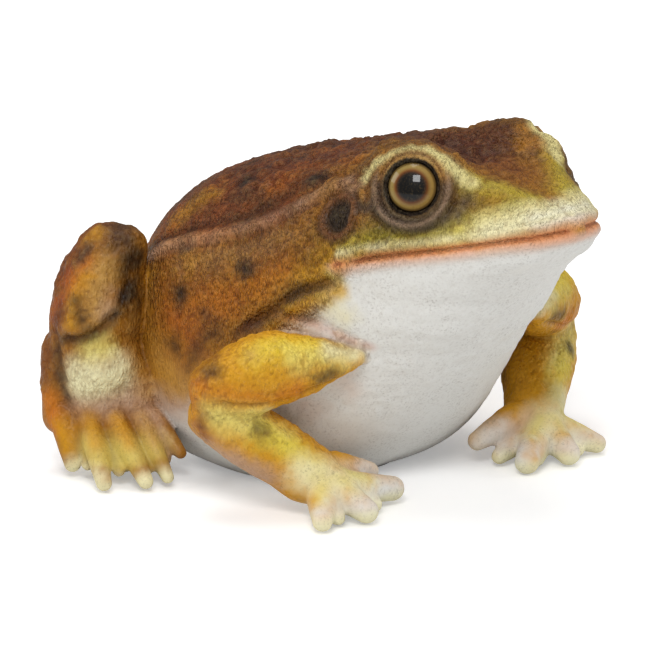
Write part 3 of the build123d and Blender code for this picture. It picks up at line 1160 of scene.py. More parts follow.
    def eyes_and_ears(self, points: Array, colours: Array) -> None:
        """Lids, eye rings and ear discs, over the colours of the points.

        Args:
            points: Points in millimetres.
            colours: Their colours, changed in place.
        """
        spots = Spots.listed(points)
        wobble = 0.5 * GRAIN.cloud(points, 3)
        for side in BOTH_SIDES:
            height, off, clock = TRUNK.eye(side).polar(spots)
            near = (height > -24) & (height < 12)
            low = ease((np.abs(clock) - 55) / 35)
            for paint, cover in (
                (Paint.SMOKE, 0.8 * low * ease((27 - off + wobble) / 6)),
                (Paint.GREY_PINK, 0.35 * low * ridge(off, 20.6, 1.3)),
                (Paint.TAN, 0.7 * (1 - low) * ease((21.5 - off) / 4)),
                (Paint.BROWN, 0.5 * (1 - low) * ridge(off, 18.0, 1.2)),
                (Paint.DARK, ease(15.9 - off + 0.6 * wobble)),
            ):
                tint(colours, paint.linear, near * cover)
            height, off = TRUNK.ear_oval(side, spots)
            near = (height > -12) & (height < 12)
            for paint, cover in (
                (Paint.SMOKE, 0.8 * ease((13 - off + wobble) / 4)),
                (Paint.BROWN, 0.8 * ridge(off, 8.9, 1.7)),
                (Paint.DARK, 0.85 * ease((7.5 - off) / 3)),
            ):
                tint(colours, paint.linear, near * cover)

    def lips(self, points: Array, colours: Array) -> None:
        """Salmon mouth line with its darker middle, over the colours of the points.

        Args:
            points: Points in millimetres.
            colours: Their colours, changed in place.
        """
        off, share, above = near_path(points, TRUNK.mouth_path(6))
        signed = np.where(above > 0, off, -off)
        front = 1 + 0.6 * ease(1 - np.abs(share - 0.5) / 0.22)
        for paint, middle, width, strength in (
            (Paint.BLUSH, -4.2, 2.8, 0.5), (Paint.SALMON, -0.3, 3.2, 0.95), (Paint.ROSE, 0.1, 0.8, 0.55),
        ):
            tint(colours, paint.linear, strength * ridge(signed, middle, width * front))


@dataclass(frozen=True)
class Nodes:
    """Shader tree under construction; most calls give back the socket that carries the result."""

    tree: bpy.types.NodeTree

    @staticmethod
    def group(
        name: str, inputs: Sequence[tuple[str, str, object]], outputs: Sequence[tuple[str, str]]
    ) -> tuple["Nodes", Outputs, bpy.types.Node]:
        """Make an empty node group with named sockets.

        Args:
            name: Name of the group.
            inputs: Name, kind and default of each input.
            outputs: Name and kind of each output.

        Returns:
            Its nodes, the sockets that it is given, and the node that takes its results.
        """
        tree = bpy.data.node_groups.new(name, "ShaderNodeTree")
        for label, kind, default in inputs:
            socket = tree.interface.new_socket(name=label, in_out="INPUT", socket_type="NodeSocket" + kind)
            if default is not None:
                socket.default_value = default
        for label, kind in outputs:
            tree.interface.new_socket(name=label, in_out="OUTPUT", socket_type="NodeSocket" + kind)
        return Nodes(tree), tree.nodes.new("NodeGroupInput").outputs, tree.nodes.new("NodeGroupOutput")

    @staticmethod
    def material(name: str) -> tuple[bpy.types.Material, "Nodes", bpy.types.Node, bpy.types.NodeSocket]:
        """Make a material to build on.

        Args:
            name: Name of the material.

        Returns:
            The material, its nodes, its shader, and the socket with the place on the object.
        """
        made = bpy.data.materials.new(name)
        made.use_nodes = True
        nodes = Nodes(made.node_tree)
        return made, nodes, nodes.tree.nodes["Principled BSDF"], nodes.add("TexCoord").outputs["Object"]

    def fill(self, node: bpy.types.Node, **links: object) -> None:
        """Set or link inputs of a node.

        Args:
            node: The node.
            links: Values or sockets, by input name with underscores for spaces, or by i and number.
        """
        for key, value in links.items():
            is_number = key[0] == "i" and key[1:].isdigit()
            socket = node.inputs[int(key[1:])] if is_number else node.inputs[key.replace("_", " ")]
            if isinstance(value, bpy.types.NodeSocket):
                self.tree.links.new(value, socket)
            else:
                socket.default_value = value

    def add(self, kind: str, settings: dict | None = None, **links: object) -> bpy.types.Node:
        """Add a node, set it up and fill its inputs.

        Args:
            kind: Node type without its leading ShaderNode.
            settings: Attributes of the node.
            links: Inputs, as for fill.

        Returns:
            The node.
        """
        node = self.tree.nodes.new("ShaderNode" + kind)
        for key, value in (settings or {}).items():
            setattr(node, key, value)
        self.fill(node, **links)
        return node

    def math(self, operation: str, *values: object, clamp: bool = False) -> bpy.types.NodeSocket:
        """Result of a sum or product of values and sockets."""
        links = {f"i{number}": value for number, value in enumerate(values)}
        return self.add("Math", {"operation": operation, "use_clamp": clamp}, **links).outputs[0]

    def vector(self, operation: str, *values: object) -> bpy.types.Node:
        """Node that works on vectors."""
        links = {f"i{number}": value for number, value in enumerate(values)}
        return self.add("VectorMath", {"operation": operation}, **links)

    def noise(self, where: object, scale: object, detail: float, roughness: float = 0.5) -> Outputs:
        """Outputs of a noise over a place."""
        return self.add("TexNoise", Vector=where, Scale=scale, Detail=detail, Roughness=roughness).outputs

    def ramp(
        self, value: object, low: float, high: float, start: float, end: float, kind: str = "LINEAR"
    ) -> bpy.types.NodeSocket:
        """Value carried over from the range low to high to the range start to end."""
        settings = {"interpolation_type": kind}
        return self.add("MapRange", settings, Value=value, i1=low, i2=high, i3=start, i4=end).outputs[0]

    def mix(self, share: object, first: object, second: object, blend: str = "MIX") -> bpy.types.NodeSocket:
        """Colour mixed from two."""
        return self.add("Mix", {"data_type": "RGBA", "blend_type": blend}, i0=share, i6=first, i7=second).outputs[2]

    def nest(self, group: bpy.types.NodeTree, **links: object) -> Outputs:
        """Outputs of a node group laid into this tree."""
        return self.add("Group", {"node_tree": group}, **links).outputs

    def attribute(self, name: str) -> bpy.types.NodeSocket:
        """Colour that the points carry under a name."""
        return self.add("Attribute", {"attribute_name": name}).outputs["Color"]

    def bump(self, height: bpy.types.NodeSocket, depth: float) -> bpy.types.NodeSocket:
        """Direction of a surface raised by a height."""
        return self.add("Bump", Height=height, Distance=depth).outputs[0]


class SkinGroups:
    """Node groups that the finishes share."""

    def __init__(self) -> None:
        """Make the groups."""
        self.leather = self.make_leather()
        # Washes of dark paint and dry-brushing: partly painted shade and painted highlight.
        self.wash = self.make_wash()
        self.speckle = self.make_speckle()

    @staticmethod
    def make_leather() -> bpy.types.NodeTree:
        """Group that puts out the height of fine leathery skin and a mask of its furrows.

        Returns:
            The group.
        """
        nodes, given, result = Nodes.group(
            "LeatherySkin",
            [("Vector", "Vector", None), ("Cells", "Float", 600.0), ("Stretch", "Float", 0.45)],
            [("Height", "Float"), ("Furrow", "Float")],
        )
        scale = nodes.add("CombineXYZ", X=1.0, Y=1.0, Z=given["Stretch"]).outputs[0]
        fitted = nodes.vector("MULTIPLY", given["Vector"], scale).outputs[0]
        drift = nodes.noise(fitted, 260.0, 2.0)["Color"]
        bent = nodes.vector("MULTIPLY_ADD", drift, (0.0022, 0.0022, 0.0022), fitted).outputs[0]
        cells = nodes.add("TexVoronoi", {"feature": "SMOOTH_F1"}, Vector=bent, Scale=given["Cells"], Smoothness=0.4)
        dome = nodes.ramp(cells.outputs["Distance"], 0.0, 0.75, 1.0, 0.0, "SMOOTHSTEP")
        fine = nodes.math("MULTIPLY_ADD", nodes.noise(given["Vector"], 1500.0, 3.0)["Fac"], 0.22, dome)
        height = nodes.math("MULTIPLY_ADD", nodes.noise(fitted, 190.0, 3.0, 0.6)["Fac"], 0.8, fine)
        nodes.fill(result, Height=height, Furrow=nodes.ramp(height, 0.56, 0.92, 1.0, 0.0, "SMOOTHSTEP"))
        return nodes.tree

    @staticmethod
    def make_wash() -> bpy.types.NodeTree:
        """Group that darkens furrows with washes of dark paint, partly painted shade, and lightens crests by
        dry-brushing, partly painted highlight.

        Returns:
            The group.
        """
        numbers = (("Furrow", 0.0), ("Crest", 0.0), ("Wash", 0.5), ("Brush", 0.3))
        nodes, given, result = Nodes.group(
            "WashShadeAndDryBrushHighlight",
            [("Color", "Color", None)] + [(name, "Float", default) for name, default in numbers],
            [("Color", "Color")],
        )
        # Darker copy of the colour: dark paint in furrows and hollows, partly painted shade.
        dark = nodes.mix(1.0, given["Color"], (0.36, 0.27, 0.2, 1), "MULTIPLY")
        low = nodes.math("MULTIPLY", given["Furrow"], given["Wash"], clamp=True)
        wash_shaded = nodes.mix(low, given["Color"], dark)
        # Lighter copy of the colour: dry-brushing on crests, partly painted highlight.
        light = nodes.mix(1.0, wash_shaded, (0.16, 0.13, 0.06, 1), "ADD")
        high = nodes.math("MULTIPLY", given["Crest"], given["Brush"], clamp=True)
        nodes.fill(result, Color=nodes.mix(high, wash_shaded, light))
        return nodes.tree

    @staticmethod
    def make_speckle() -> bpy.types.NodeTree:
        """Group that spatters fine specks of another paint over a colour.

        Returns:
            The group.
        """
        nodes, given, result = Nodes.group(
            "Speckle",
            [
                ("Vector", "Vector", None), ("Color", "Color", None), ("Speck", "Color", (0.1, 0.05, 0.02, 1)),
                ("Scale", "Float", 700.0), ("Amount", "Float", 0.3),
            ],
            [("Color", "Color")],
        )
        dust = nodes.noise(given["Vector"], given["Scale"], 4.0, 0.7)["Fac"]
        patch = nodes.noise(given["Vector"], 60.0, 2.0)["Fac"]
        both = nodes.math("MULTIPLY", nodes.ramp(dust, 0.52, 0.66, 0.0, 1.0), nodes.ramp(patch, 0.35, 0.65, 0.3, 1.0))
        cover = nodes.math("MULTIPLY", both, given["Amount"], clamp=True)
        nodes.fill(result, Color=nodes.mix(cover, given["Color"], given["Speck"]))
        return nodes.tree


@dataclass(frozen=True)
class SkinFinish:
    """Airbrushed and varnished skin, its leather grain stronger where the grain attribute says so, its furrows and
    hollows darkened partly as painted shade and its crests lightened partly as painted highlight.
    """

    name: str
    cells: float = 760.0
    stretch: float = 0.5
    depth: float = 0.0018
    # Strengths of the darkening in furrows and hollows, partly painted shade, and of the lightening on crests, partly
    # painted highlight.
    wash: float = 0.68
    brush: float = 0.2
    coat: float = 0.08

    def make(self, groups: SkinGroups) -> bpy.types.Material:
        """Make the material.

        Args:
            groups: The shared node groups.

        Returns:
            The material.
        """
        material, nodes, shader, where = Nodes.material(self.name)
        # Channels: grain strength, sunken places to darken partly as painted shade, proud places to lighten partly as
        # painted highlight.
        rough, hollow, crest = nodes.add("SeparateColor", Color=nodes.attribute("finish")).outputs
        leather = nodes.nest(groups.leather, Vector=where, Cells=self.cells, Stretch=self.stretch)
        specks = nodes.nest(groups.speckle, Vector=where, Color=nodes.attribute("paint"), Amount=0.35)[0]
        faint, straw = nodes.math("MULTIPLY", rough, 0.10), (0.72, 0.5, 0.2, 1)
        pale = nodes.nest(groups.speckle, Vector=where, Color=specks, Speck=straw, Scale=430.0, Amount=faint)[0]
        worn = nodes.ramp(nodes.noise(where, 55.0, 2.0)["Fac"], 0.42, 0.66, 0.2, 1.0, "SMOOTHSTEP")
        furrow = nodes.math("MULTIPLY", leather["Furrow"], nodes.math("MULTIPLY", worn, rough))
        deep = nodes.math("ADD", furrow, hollow, clamp=True)
        # Darkened furrows and hollows and lightened crests: partly painted shade and painted highlight.
        wash_shaded = nodes.nest(groups.wash, Color=pale, Furrow=deep, Crest=crest, Wash=self.wash, Brush=self.brush)[0]
        nodes.fill(
            shader,
            Base_Color=wash_shaded,
            Roughness=nodes.ramp(leather["Height"], 0.6, 1.3, 0.62, 0.4),
            Normal=nodes.bump(nodes.math("MULTIPLY", leather["Height"], rough), self.depth),
            Coat_Weight=self.coat,
            Coat_Roughness=0.28,
            Specular_IOR_Level=0.22,
        )
        return material


def hollowness(points: Array, faces: list[Array], normals: Array) -> Array:
    """How sunken or proud each point is against its neighbours, in millimetres, positive when sunken.

    Args:
        points: Points in millimetres.
        faces: Faces as arrays of rows with the same number of corners.
        normals: Outward directions.

    Returns:
        How far each point lies below the middle of its neighbours.
    """
    total, count = np.zeros((len(points), 3)), np.zeros(len(points))
    for part in faces:
        for i in range(part.shape[1]):
            a, b = part[:, i], part[:, (i + 1) % part.shape[1]]
            for axis in range(3):
                total[:, axis] += np.bincount(a, points[b, axis], len(points))
            count += np.bincount(a, minlength=len(points))
    mean = total / np.maximum(count, 1)[:, None]
    return ((mean - points) * normals).sum(axis=1)


def grain_and_shading_layer(casting: Casting, rough: Array) -> Array:
    """Grain and shading attribute of a casting: grain strength, sunken places to darken partly as painted shade, and
    proud places to lighten partly as painted highlight.

    Args:
        casting: The casting.
        rough: Grain strength of each point.

    Returns:
        One row of three values per point.
    """
    sunk = hollowness(casting.points, casting.faces, casting.normals)
    # Sunken places, darkened partly as painted shade.
    low = np.clip(sunk / 0.16, 0, 1) * np.clip(rough * 1.4, 0.15, 1)
    # Proud places, lightened partly as painted highlight.
    high = np.clip(-sunk / 0.14, 0, 1) * rough
    return np.stack([np.clip(rough, 0, 1), low, high], 1)


@dataclass
class Trunk:
    """Trunk casting with its relief, paint and place in the frame."""

    step: float = 1.9
    quick_step: float = 2.6
    low: Place = (-108, -153, -3)
    high: Place = (108, 153, 206)

    def fine(self, middles: Array) -> Array:
        """Faces around the eyes, the ears and the mouth line, which get a finer skin.

        Args:
            middles: Middle of each face in millimetres.

        Returns:
            True for each of those faces.
        """
        spots = Spots.listed(middles)
        chosen = np.zeros(len(middles), bool)
        for side in BOTH_SIDES:
            chosen |= TRUNK.eye(side).polar(spots)[1] < 27
            chosen |= TRUNK.ear(side).polar(spots)[1] < 13
        chosen &= middles[:, 2] > 150
        return chosen | (near_path(middles, TRUNK.mouth_path(5))[0] < 7)

    def build(self, material: bpy.types.Material) -> bpy.types.Object:
        """Cast, carve, paint and place the trunk.

        Args:
            material: The painted finish.

        Returns:
            The piece.
        """
        step = self.step
        skin = Casting.cast(TRUNK.measure, self.low, self.high, step, self.fine)
        heights = RELIEF.heights(skin.points, skin.normals) * ease((skin.points[:, 2] - 1) / 8)
        skin.points = skin.points + skin.normals * heights[:, None]
        rough = 0.2 + 0.8 * ease((skin.points[:, 2] - 60) / 60 + 0.4 * RELIEF.roughness(skin.points, skin.normals))
        below = ease((TrunkPaint().edge_height(skin.points) - skin.points[:, 2] + 4) / 12)
        rough = rough * (1 - 0.93 * below) * (1 - 0.45 * ease((-skin.points[:, 1] - 60) / 40))
        skin.colours = TrunkPaint().colours(skin.points)
        # Grain strength, with sunken places darkened and proud places lightened, partly as painted shade and highlight.
        skin.finish = grain_and_shading_layer(skin, rough)
        piece = skin.build("trunk_casting")
        piece.data.materials.append(material)
        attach(piece, "root")
        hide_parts("trunk_shell")
        return piece


@dataclass
class Limb:
    """One cast limb that flares into the trunk and rests on the ground."""

    side: Side
    flare: float = 5.0
    collar: float = 7.0
    seat: float = 4.0
    outside: float = 60.0
    step: float = 1.3
    quick_step: float = 2.0
    blend: float = 0.9
    sole: Paint = Paint.CREAM
    creases: tuple[Crease, ...] = ()
    strokes: tuple[Spray, ...] = ()
    base: Paint = Paint.GOLD
    node: str = ""
    slot: str = ""

    @property
    def rods(self) -> Sequence[tuple[Body, float]]:
        """Bodies of the limb in order, each with the width of its fillet."""
        raise NotImplementedError

    @property
    def box(self) -> tuple[Place, Place]:
        """Lowest and highest corner of the limb as out, ahead and up."""
        raise NotImplementedError

    def rod(self, start: Place, end: Place, *girth: float) -> Rod:
        """Rod on the limb's own side."""
        return Rod(row(start, self.side.value), row(end, self.side.value), *girth)

    def pad(self, place: Place, radii: Place) -> Ball:
        """Ellipsoid on the limb's own side."""
        return Ball(row(place, self.side.value), radii)

    def limb(self, at: Spots) -> Array:
        """Distance from the limb alone.

        Args:
            at: The points.

        Returns:
            Distances, negative inside.
        """
        shape = np.broadcast_shapes(at.x.shape, at.y.shape, at.z.shape)
        form = Form(at, np.full(shape, self.outside, np.float32))
        for body, soft in self.rods:
            form.join(body, soft)
        return form.values

    def measure(self, at: Spots) -> Array:
        """Distance from the limb as cast, with its flare on the trunk and a short seat inside it.

        Args:
            at: The points.

        Returns:
            Distances, negative inside.
        """
        limb, trunk = self.limb(at), TRUNK.skin(at)
        sink = 0.1 + 1.2 * ease((limb - 0.55 * self.flare) / (0.9 * self.flare))
        blend = soft_join(limb, trunk, self.flare) + sink
        body = np.maximum(np.maximum(blend, limb - self.collar), -trunk - self.seat)
        return soft_cut(body, -at.z, 1.5)

    def roughness(self, points: Array) -> Array:
        """Grain strength over the limb, weaker towards the ground."""
        return 0.15 + 0.6 * ease((points[:, 2] - 12) / 40)

    def colours(self, points: Array) -> Array:
        """Colour of every point of the limb.

        Args:
            points: Points in millimetres.

        Returns:
            One linear colour per point.
        """
        colours = np.tile(self.base.linear, (len(points), 1))
        for stroke in self.strokes:
            stroke.lay(points, colours)
        tint(colours, self.sole.linear, 0.8 * ease((12 + 2 * GRAIN.cloud(points, 7) - points[:, 2]) / 8))
        near = self.blend * ease(1 - TRUNK.skin(Spots.listed(points)) / self.flare)
        tint(colours, TrunkPaint().colours(points), near)
        return np.clip(colours, 0, 1)

    def build(self, material: bpy.types.Material) -> bpy.types.Object:
        """Cast, carve, paint and place the limb.

        Args:
            material: The painted finish.

        Returns:
            The piece.
        """
        low, high = row(self.box[0], self.side.value), row(self.box[1], self.side.value)
        low, high = np.minimum(low, high), np.maximum(low, high)
        step = self.step
        skin = Casting.cast(self.measure, low, high, step)
        heights = sum(crease.relief(skin.points) for crease in self.creases)
        rough = self.roughness(skin.points)
        pores = GRAIN.cloud(skin.points, 2.2) * 0.6 + GRAIN.cloud(skin.points, 4.5) * 0.7
        lumps = GRAIN.lumps(skin.points + 11, 6.0, 0.45) + 0.8 * GRAIN.cloud(skin.points + 5, 9.0)
        heights = heights + RELIEF.leather * rough * pores + 0.9 * lumps * ease(rough * 1.5 - 0.2)
        heights = heights * ease((skin.points[:, 2] - 0.5) / 4)
        skin.points = skin.points + skin.normals * heights[:, None]
        skin.colours = self.colours(skin.points)
        # Grain strength, with sunken places darkened and proud places lightened, partly as painted shade and highlight.
        skin.finish = grain_and_shading_layer(skin, rough)
        piece = skin.build(f"{self.node}_casting_{self.side.word}")
        piece.data.materials.append(material)
        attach(piece, "root")
        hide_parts(f"{self.node}_{self.side.word}")
        return piece


@dataclass
class Foreleg(Limb):
    """Upper arm, forearm and webbed hand."""

    node: str = "foreleg"
    slot: str = "limb_resin"
    bulk: float = 0.0
    inner_tip: Place = (41, 50, 8.5)
    base: Paint = Paint.GOLD
    creases: tuple[Crease, ...] = (
        Crease(((138, 4, 66), (128, 20, 65), (115, 30, 64), (103, 38, 66), (88, 44, 72), (70, 50, 80)), 2.4, -2.2),
        Crease(((110, 30, 60), (97, 36, 51), (88, 42, 43), (74, 46, 34)), 2.2, 1.2),
    )
    strokes: tuple[Spray, ...] = (
        Spray(Paint.LEMON, ((116, 24, 92), (104, 32, 94), (90, 40, 93)), 7, 8, 0.85, 3),
        Spray(Paint.STRAW, ((100, 36, 88), (88, 44, 88), (78, 48, 88)), 6, 7, 0.8, 3),
        Spray(Paint.GOLD, ((128, 10, 84), (118, 22, 78)), 7, 8, 0.6, 3),
        Spray(Paint.AMBER, ((134, 2, 74), (128, 14, 71), (114, 28, 71), (100, 38, 73)), 5, 7, 0.85, 3),
        Spray(Paint.ORANGE, ((141, -8, 72), (141, -2, 58), (137, 4, 48)), 6, 8, 0.9, 3),
        Spray(Paint.BROWN, ((126, 0, 88), (134, -8, 82)), 6, 8, 0.8, 4),
        Spray(Paint.UMBER, ((133, 4, 82), (129, 10, 80)), 3.5, 5, 0.75, 3),
        Spray(Paint.TAN, ((116, 22, 90), (108, 28, 88)), 4.5, 5, 0.8, 3),
        Spray(Paint.ROSE, ((114, 24, 87), (108, 29, 86)), 2.5, 4, 0.5, 3),
        Spray(Paint.CREAM, ((82, 46, 92), (70, 52, 90), (62, 54, 88)), 4, 6, 0.85, 2),
        Spray(Paint.DARK, ((90, 44, 80), (83, 48, 80)), 4, 4.5, 0.85, 2),
        Spray(Paint.STRAW, ((130, 10, 58), (114, 26, 54), (102, 34, 46)), 8, 8, 0.9, 3),
        Spray(Paint.LEMON, ((112, 26, 46), (100, 36, 40), (92, 44, 32)), 6, 7, 0.75, 3),
        Spray(Paint.GREY_PINK, ((138, -6, 40), (124, 10, 32), (108, 24, 24)), 8, 8, 0.9, 3),
        Spray(Paint.BROWN, ((137, 4, 56), (135, 2, 46)), 4, 5, 0.85, 3),
        Spray(Paint.DARK, ((115, 28, 51),), 4, 4, 0.85, 2.5),
        Spray(Paint.BROWN, ((112, 24, 44), (108, 26, 38)), 4, 5, 0.6, 3),
        Spray(Paint.CREAM, ((110, 30, 60), (97, 36, 51), (88, 42, 43), (74, 46, 34)), 2, 3, 0.85, 1),
        Spray(Paint.CREAM, ((96, 44, 26), (84, 50, 22), (70, 50, 20)), 10, 9, 0.8, 3),
        Spray(Paint.STRAW, ((92, 50, 24), (100, 58, 14)), 3.5, 5, 0.7, 2),
        Spray(Paint.STRAW, ((72, 50, 24), (58, 56, 18)), 3.5, 5, 0.7, 2),
        Spray(Paint.STRAW, ((80, 54, 22), (78, 62, 15)), 3, 5, 0.6, 2),
        Spray(Paint.BELLY, ((106, 64, 4), (103, 62, 8)), 6, 7, 0.9, 2),
        Spray(Paint.BELLY, ((77, 70, 6), (77, 66, 8)), 7, 7, 0.9, 2),
        Spray(Paint.BELLY, ((42, 62, 6), (50, 60, 8)), 7, 7, 0.9, 2),
        # Painted shade: grey between the fingertips where they meet the ground.
        Spray(Paint.SHADE_AND_RESIN_GREY, ((93, 62, 2), (86, 64, 2)), 3, 5, 0.6, 1.5),
        Spray(Paint.SHADE_AND_RESIN_GREY, ((66, 62, 2), (58, 60, 2)), 3, 5, 0.6, 1.5),
        Spray(Paint.BLUSH, ((70, 40, 22), (48, 36, 16)), 5, 5, 0.8, 1),
        Spray(Paint.BELLY, ((100, 50, 0), (80, 55, 0), (50, 55, 0)), 9, 7, 0.9, 1),
        Spray(Paint.CREAM, ((90, 54, 9), (76, 56, 12), (62, 52, 11)), 6, 7, 0.8, 2),
        Spray(Paint.BELLY, ((52, 38, 16), (42, 34, 14)), 8, 7, 0.8, 2),
        Spray(Paint.BELLY, ((40, 50, 9), (50, 52, 10)), 9, 8, 0.85, 2),
        Spray(Paint.BELLY, ((77, 68, 8), (92, 60, 8), (63, 58, 8)), 7, 8, 0.7, 2),
        Spray(Paint.UMBER, ((97, 34, 60),), 4, 5, 0.75, 2, (-1,)),
        Spray(Paint.UMBER, ((80, 45, 42),), 4, 5, 0.7, 2, (-1,)),
        Spray(Paint.OLIVE, ((88, 40, 30),), 8, 8, 0.4, 2, (-1,)),
    )

    @property
    def box(self) -> tuple[Place, Place]:
        """Lowest and highest corner of the foreleg."""
        return (26, -40, -3), (154, 82, 112)

    @property
    def rods(self) -> Sequence[tuple[Body, float]]:
        """Upper arm, forearm, palm, fingers and webs.

        Returns:
            The bodies, each with the width of its fillet.
        """
        rod, wide = self.rod, self.bulk
        return [
            (rod((102, 20, 80), (119 + wide, 3, 69), 19, 20, 18), 1),
            (rod((102, 20, 80), (67, 50, 86), 19, 14.5, 4.5), 4),
            (rod((119 + wide, -1 + wide, 54), (86, 30, 24), 16 + wide, 17.5 + wide, 15), 2.5),
            (rod((86, 31, 22), (76, 46, 14), 14.5, 13, 11), 8),
            (rod((86, 44, 15), (103, 62, 6.2), 9.5, 7.8, 5.4), 2.5),
            (rod((80, 46, 16), (76, 67, 7.2), 10, 8.2, 6.6), 2.5),
            (rod((74, 46, 15), self.inner_tip, 10, 8.2, 6.8), 2.5),
            (rod((68, 34, 22), (41, 32, 14), 9, 7.5, 5.5), 4),
            (rod((85, 46, 12), (90, 60, 5), 7, 5, 4), 4),
            (rod((76, 46, 12), (61, 57, 5.5), 7, 6, 4.5), 4),
            (rod((70, 40, 12), (48, 42, 6), 7, 6, 4.5), 4),
        ]


@dataclass
class HindLeg(Limb):
    """Folded thigh and shank with the long webbed foot."""

    node: str = "hind_leg"
    slot: str = "haunch_resin"
    base: Paint = Paint.OCHRE
    flare: float = 3.0
    creases: tuple[Crease, ...] = (
        Crease(((116, -83, 95), (124, -86, 86), (129, -93, 80), (134, -100, 77), (136, -108, 77)), 3.4, -3.6),
        Crease(((117, -82, 101), (125, -86, 92), (131, -93, 86), (135, -101, 83), (137, -109, 83)), 4.6, 1.6),
        Crease(((106, -79, 116), (111, -81, 106), (116, -83, 96)), 3.0, -2.0),
        Crease(((134, -104, 122), (130, -100, 118), (126, -98, 120)), 2.6, -1.5),
        Crease(((136, -116, 84), (135, -112, 66), (131, -108, 48)), 3.0, -2.0),
    )
    strokes: tuple[Spray, ...] = (
        Spray(Paint.BROWN, ((106, -102, 140), (120, -112, 126), (132, -120, 104)), 13, 12, 0.95, 5),
        Spray(Paint.UMBER, ((100, -96, 138), (108, -92, 132), (108, -84, 122)), 9, 9, 0.85, 4),
        # Painted shade: dark where the front of the haunch meets the trunk.
        Spray(Paint.DARK, ((106, -80, 122), (112, -80, 112), (108, -78, 102)), 7, 9, 0.9, 4),
        Spray(Paint.UMBER, ((104, -78, 100), (106, -78, 86)), 6, 8, 0.7, 4),
        Spray(Paint.TAN, ((122, -88, 116), (128, -88, 102), (126, -84, 90)), 7, 8, 0.85, 3),
        Spray(Paint.GREY_PINK, ((121, -82, 104), (125, -83, 93)), 3.5, 6, 0.6, 3),
        Spray(Paint.ORANGE, ((134, -108, 112), (138, -112, 98), (138, -114, 86)), 6, 7, 0.9, 4),
        Spray(Paint.GOLD, ((124, -104, 134), (118, -100, 136)), 4, 6, 0.7, 4),
        Spray(Paint.AMBER, ((126, -98, 120), (132, -102, 106)), 4, 6, 0.8, 4),
        Spray(Paint.GOLD, ((129, -96, 112), (134, -100, 98), (135, -100, 88)), 3.0, 5, 0.75, 4),
        Spray(Paint.DARK, ((124, -100, 126), (130, -104, 120)), 3.5, 5, 0.85, 3),
        Spray(Paint.DARK, ((135, -98, 100), (134, -94, 90)), 3, 5, 0.8, 3),
        Spray(Paint.DARK, ((138, -110, 92), (138, -114, 80)), 4, 5, 0.85, 3),
        # Painted shade: dark line in the fold between thigh and calf.
        Spray(Paint.DARK, ((110, -81, 106), (116, -83, 95), (124, -86, 86), (129, -93, 80), (134, -100, 77),
                           (136, -108, 77)), 3.0, 4.5, 0.95, 2),
        Spray(Paint.STRAW, ((124, -84, 74), (130, -92, 70)), 6, 7, 0.85, 2),
        Spray(Paint.CREAM, ((118, -78, 62), (126, -86, 58), (130, -98, 58)), 9, 8, 0.9, 2),
        Spray(Paint.CREAM, ((116, -80, 52), (124, -88, 50), (128, -100, 50)), 8, 7, 0.85, 2),
        # Painted shade: grey-pink on the lower calf, below the pale bands.
        Spray(Paint.GREY_PINK, ((114, -82, 42), (122, -90, 40), (126, -104, 40)), 6, 7, 0.85, 2),
        Spray(Paint.GREY_PINK, ((106, -76, 48), (103, -75, 36)), 7, 7, 0.8, 2),
        Spray(Paint.TAN, ((108, -76, 84), (106, -76, 66), (102, -74, 50)), 6, 7, 0.8, 3),
        Spray(Paint.BROWN, ((136, -124, 74), (137, -124, 54)), 7, 7, 0.9, 3),
        # Painted shade: dark line in the groove beside the shank.
        Spray(Paint.DARK, ((132, -114, 70), (134, -112, 54), (132, -108, 42)), 3, 5, 0.85, 2),
        Spray(Paint.AMBER, ((137, -118, 40), (137, -112, 28)), 6, 6, 0.8, 2),
        Spray(Paint.STRAW, ((134, -88, 18), (122, -72, 18), (108, -66, 18)), 9, 8, 0.7, 2),
        Spray(Paint.GOLD, ((135, -108, 28), (137, -104, 18)), 4, 6, 0.85, 2),
        Spray(Paint.GOLD, ((126, -96, 34), (133, -84, 22)), 3.5, 5, 0.8, 2),
        Spray(Paint.GOLD, ((118, -84, 34), (121, -70, 24)), 3.5, 5, 0.8, 2),
        Spray(Paint.TAN, ((106, -76, 34), (108, -64, 22)), 3.5, 5, 0.8, 2),
        # Painted shade: dark lines in the webs between the toes.
        Spray(Paint.SMOKE, ((128, -106, 26), (134, -92, 10)), 1.4, 3, 0.6, 1),
        Spray(Paint.SMOKE, ((119, -94, 27), (129, -72, 12)), 1.4, 3, 0.6, 1),
        Spray(Paint.SMOKE, ((110, -84, 28), (115, -64, 12)), 1.4, 3, 0.6, 1),
        Spray(Paint.GREY_PINK, ((98, -74, 30), (99, -62, 14)), 4, 6, 0.8, 2),
        Spray(Paint.STRAW, ((137, -78, 14), (122, -64, 14)), 3, 5, 0.6, 2),
        Spray(Paint.CREAM, ((140, -72, 6), (136, -98, 6)), 5, 6, 0.9, 2),
        Spray(Paint.CREAM, ((123, -54, 6), (109, -52, 6)), 5, 6, 0.9, 2),
        # Painted shade: grey-pink along the toes where they meet the ground.
        Spray(Paint.GREY_PINK, ((134, -88, 2), (129, -66, 2), (115, -58, 2)), 4, 5, 0.8, 1.5),
    )

    @property
    def box(self) -> tuple[Place, Place]:
        """Lowest and highest corner of the hind leg."""
        return (70, -146, -3), (154, -34, 154)

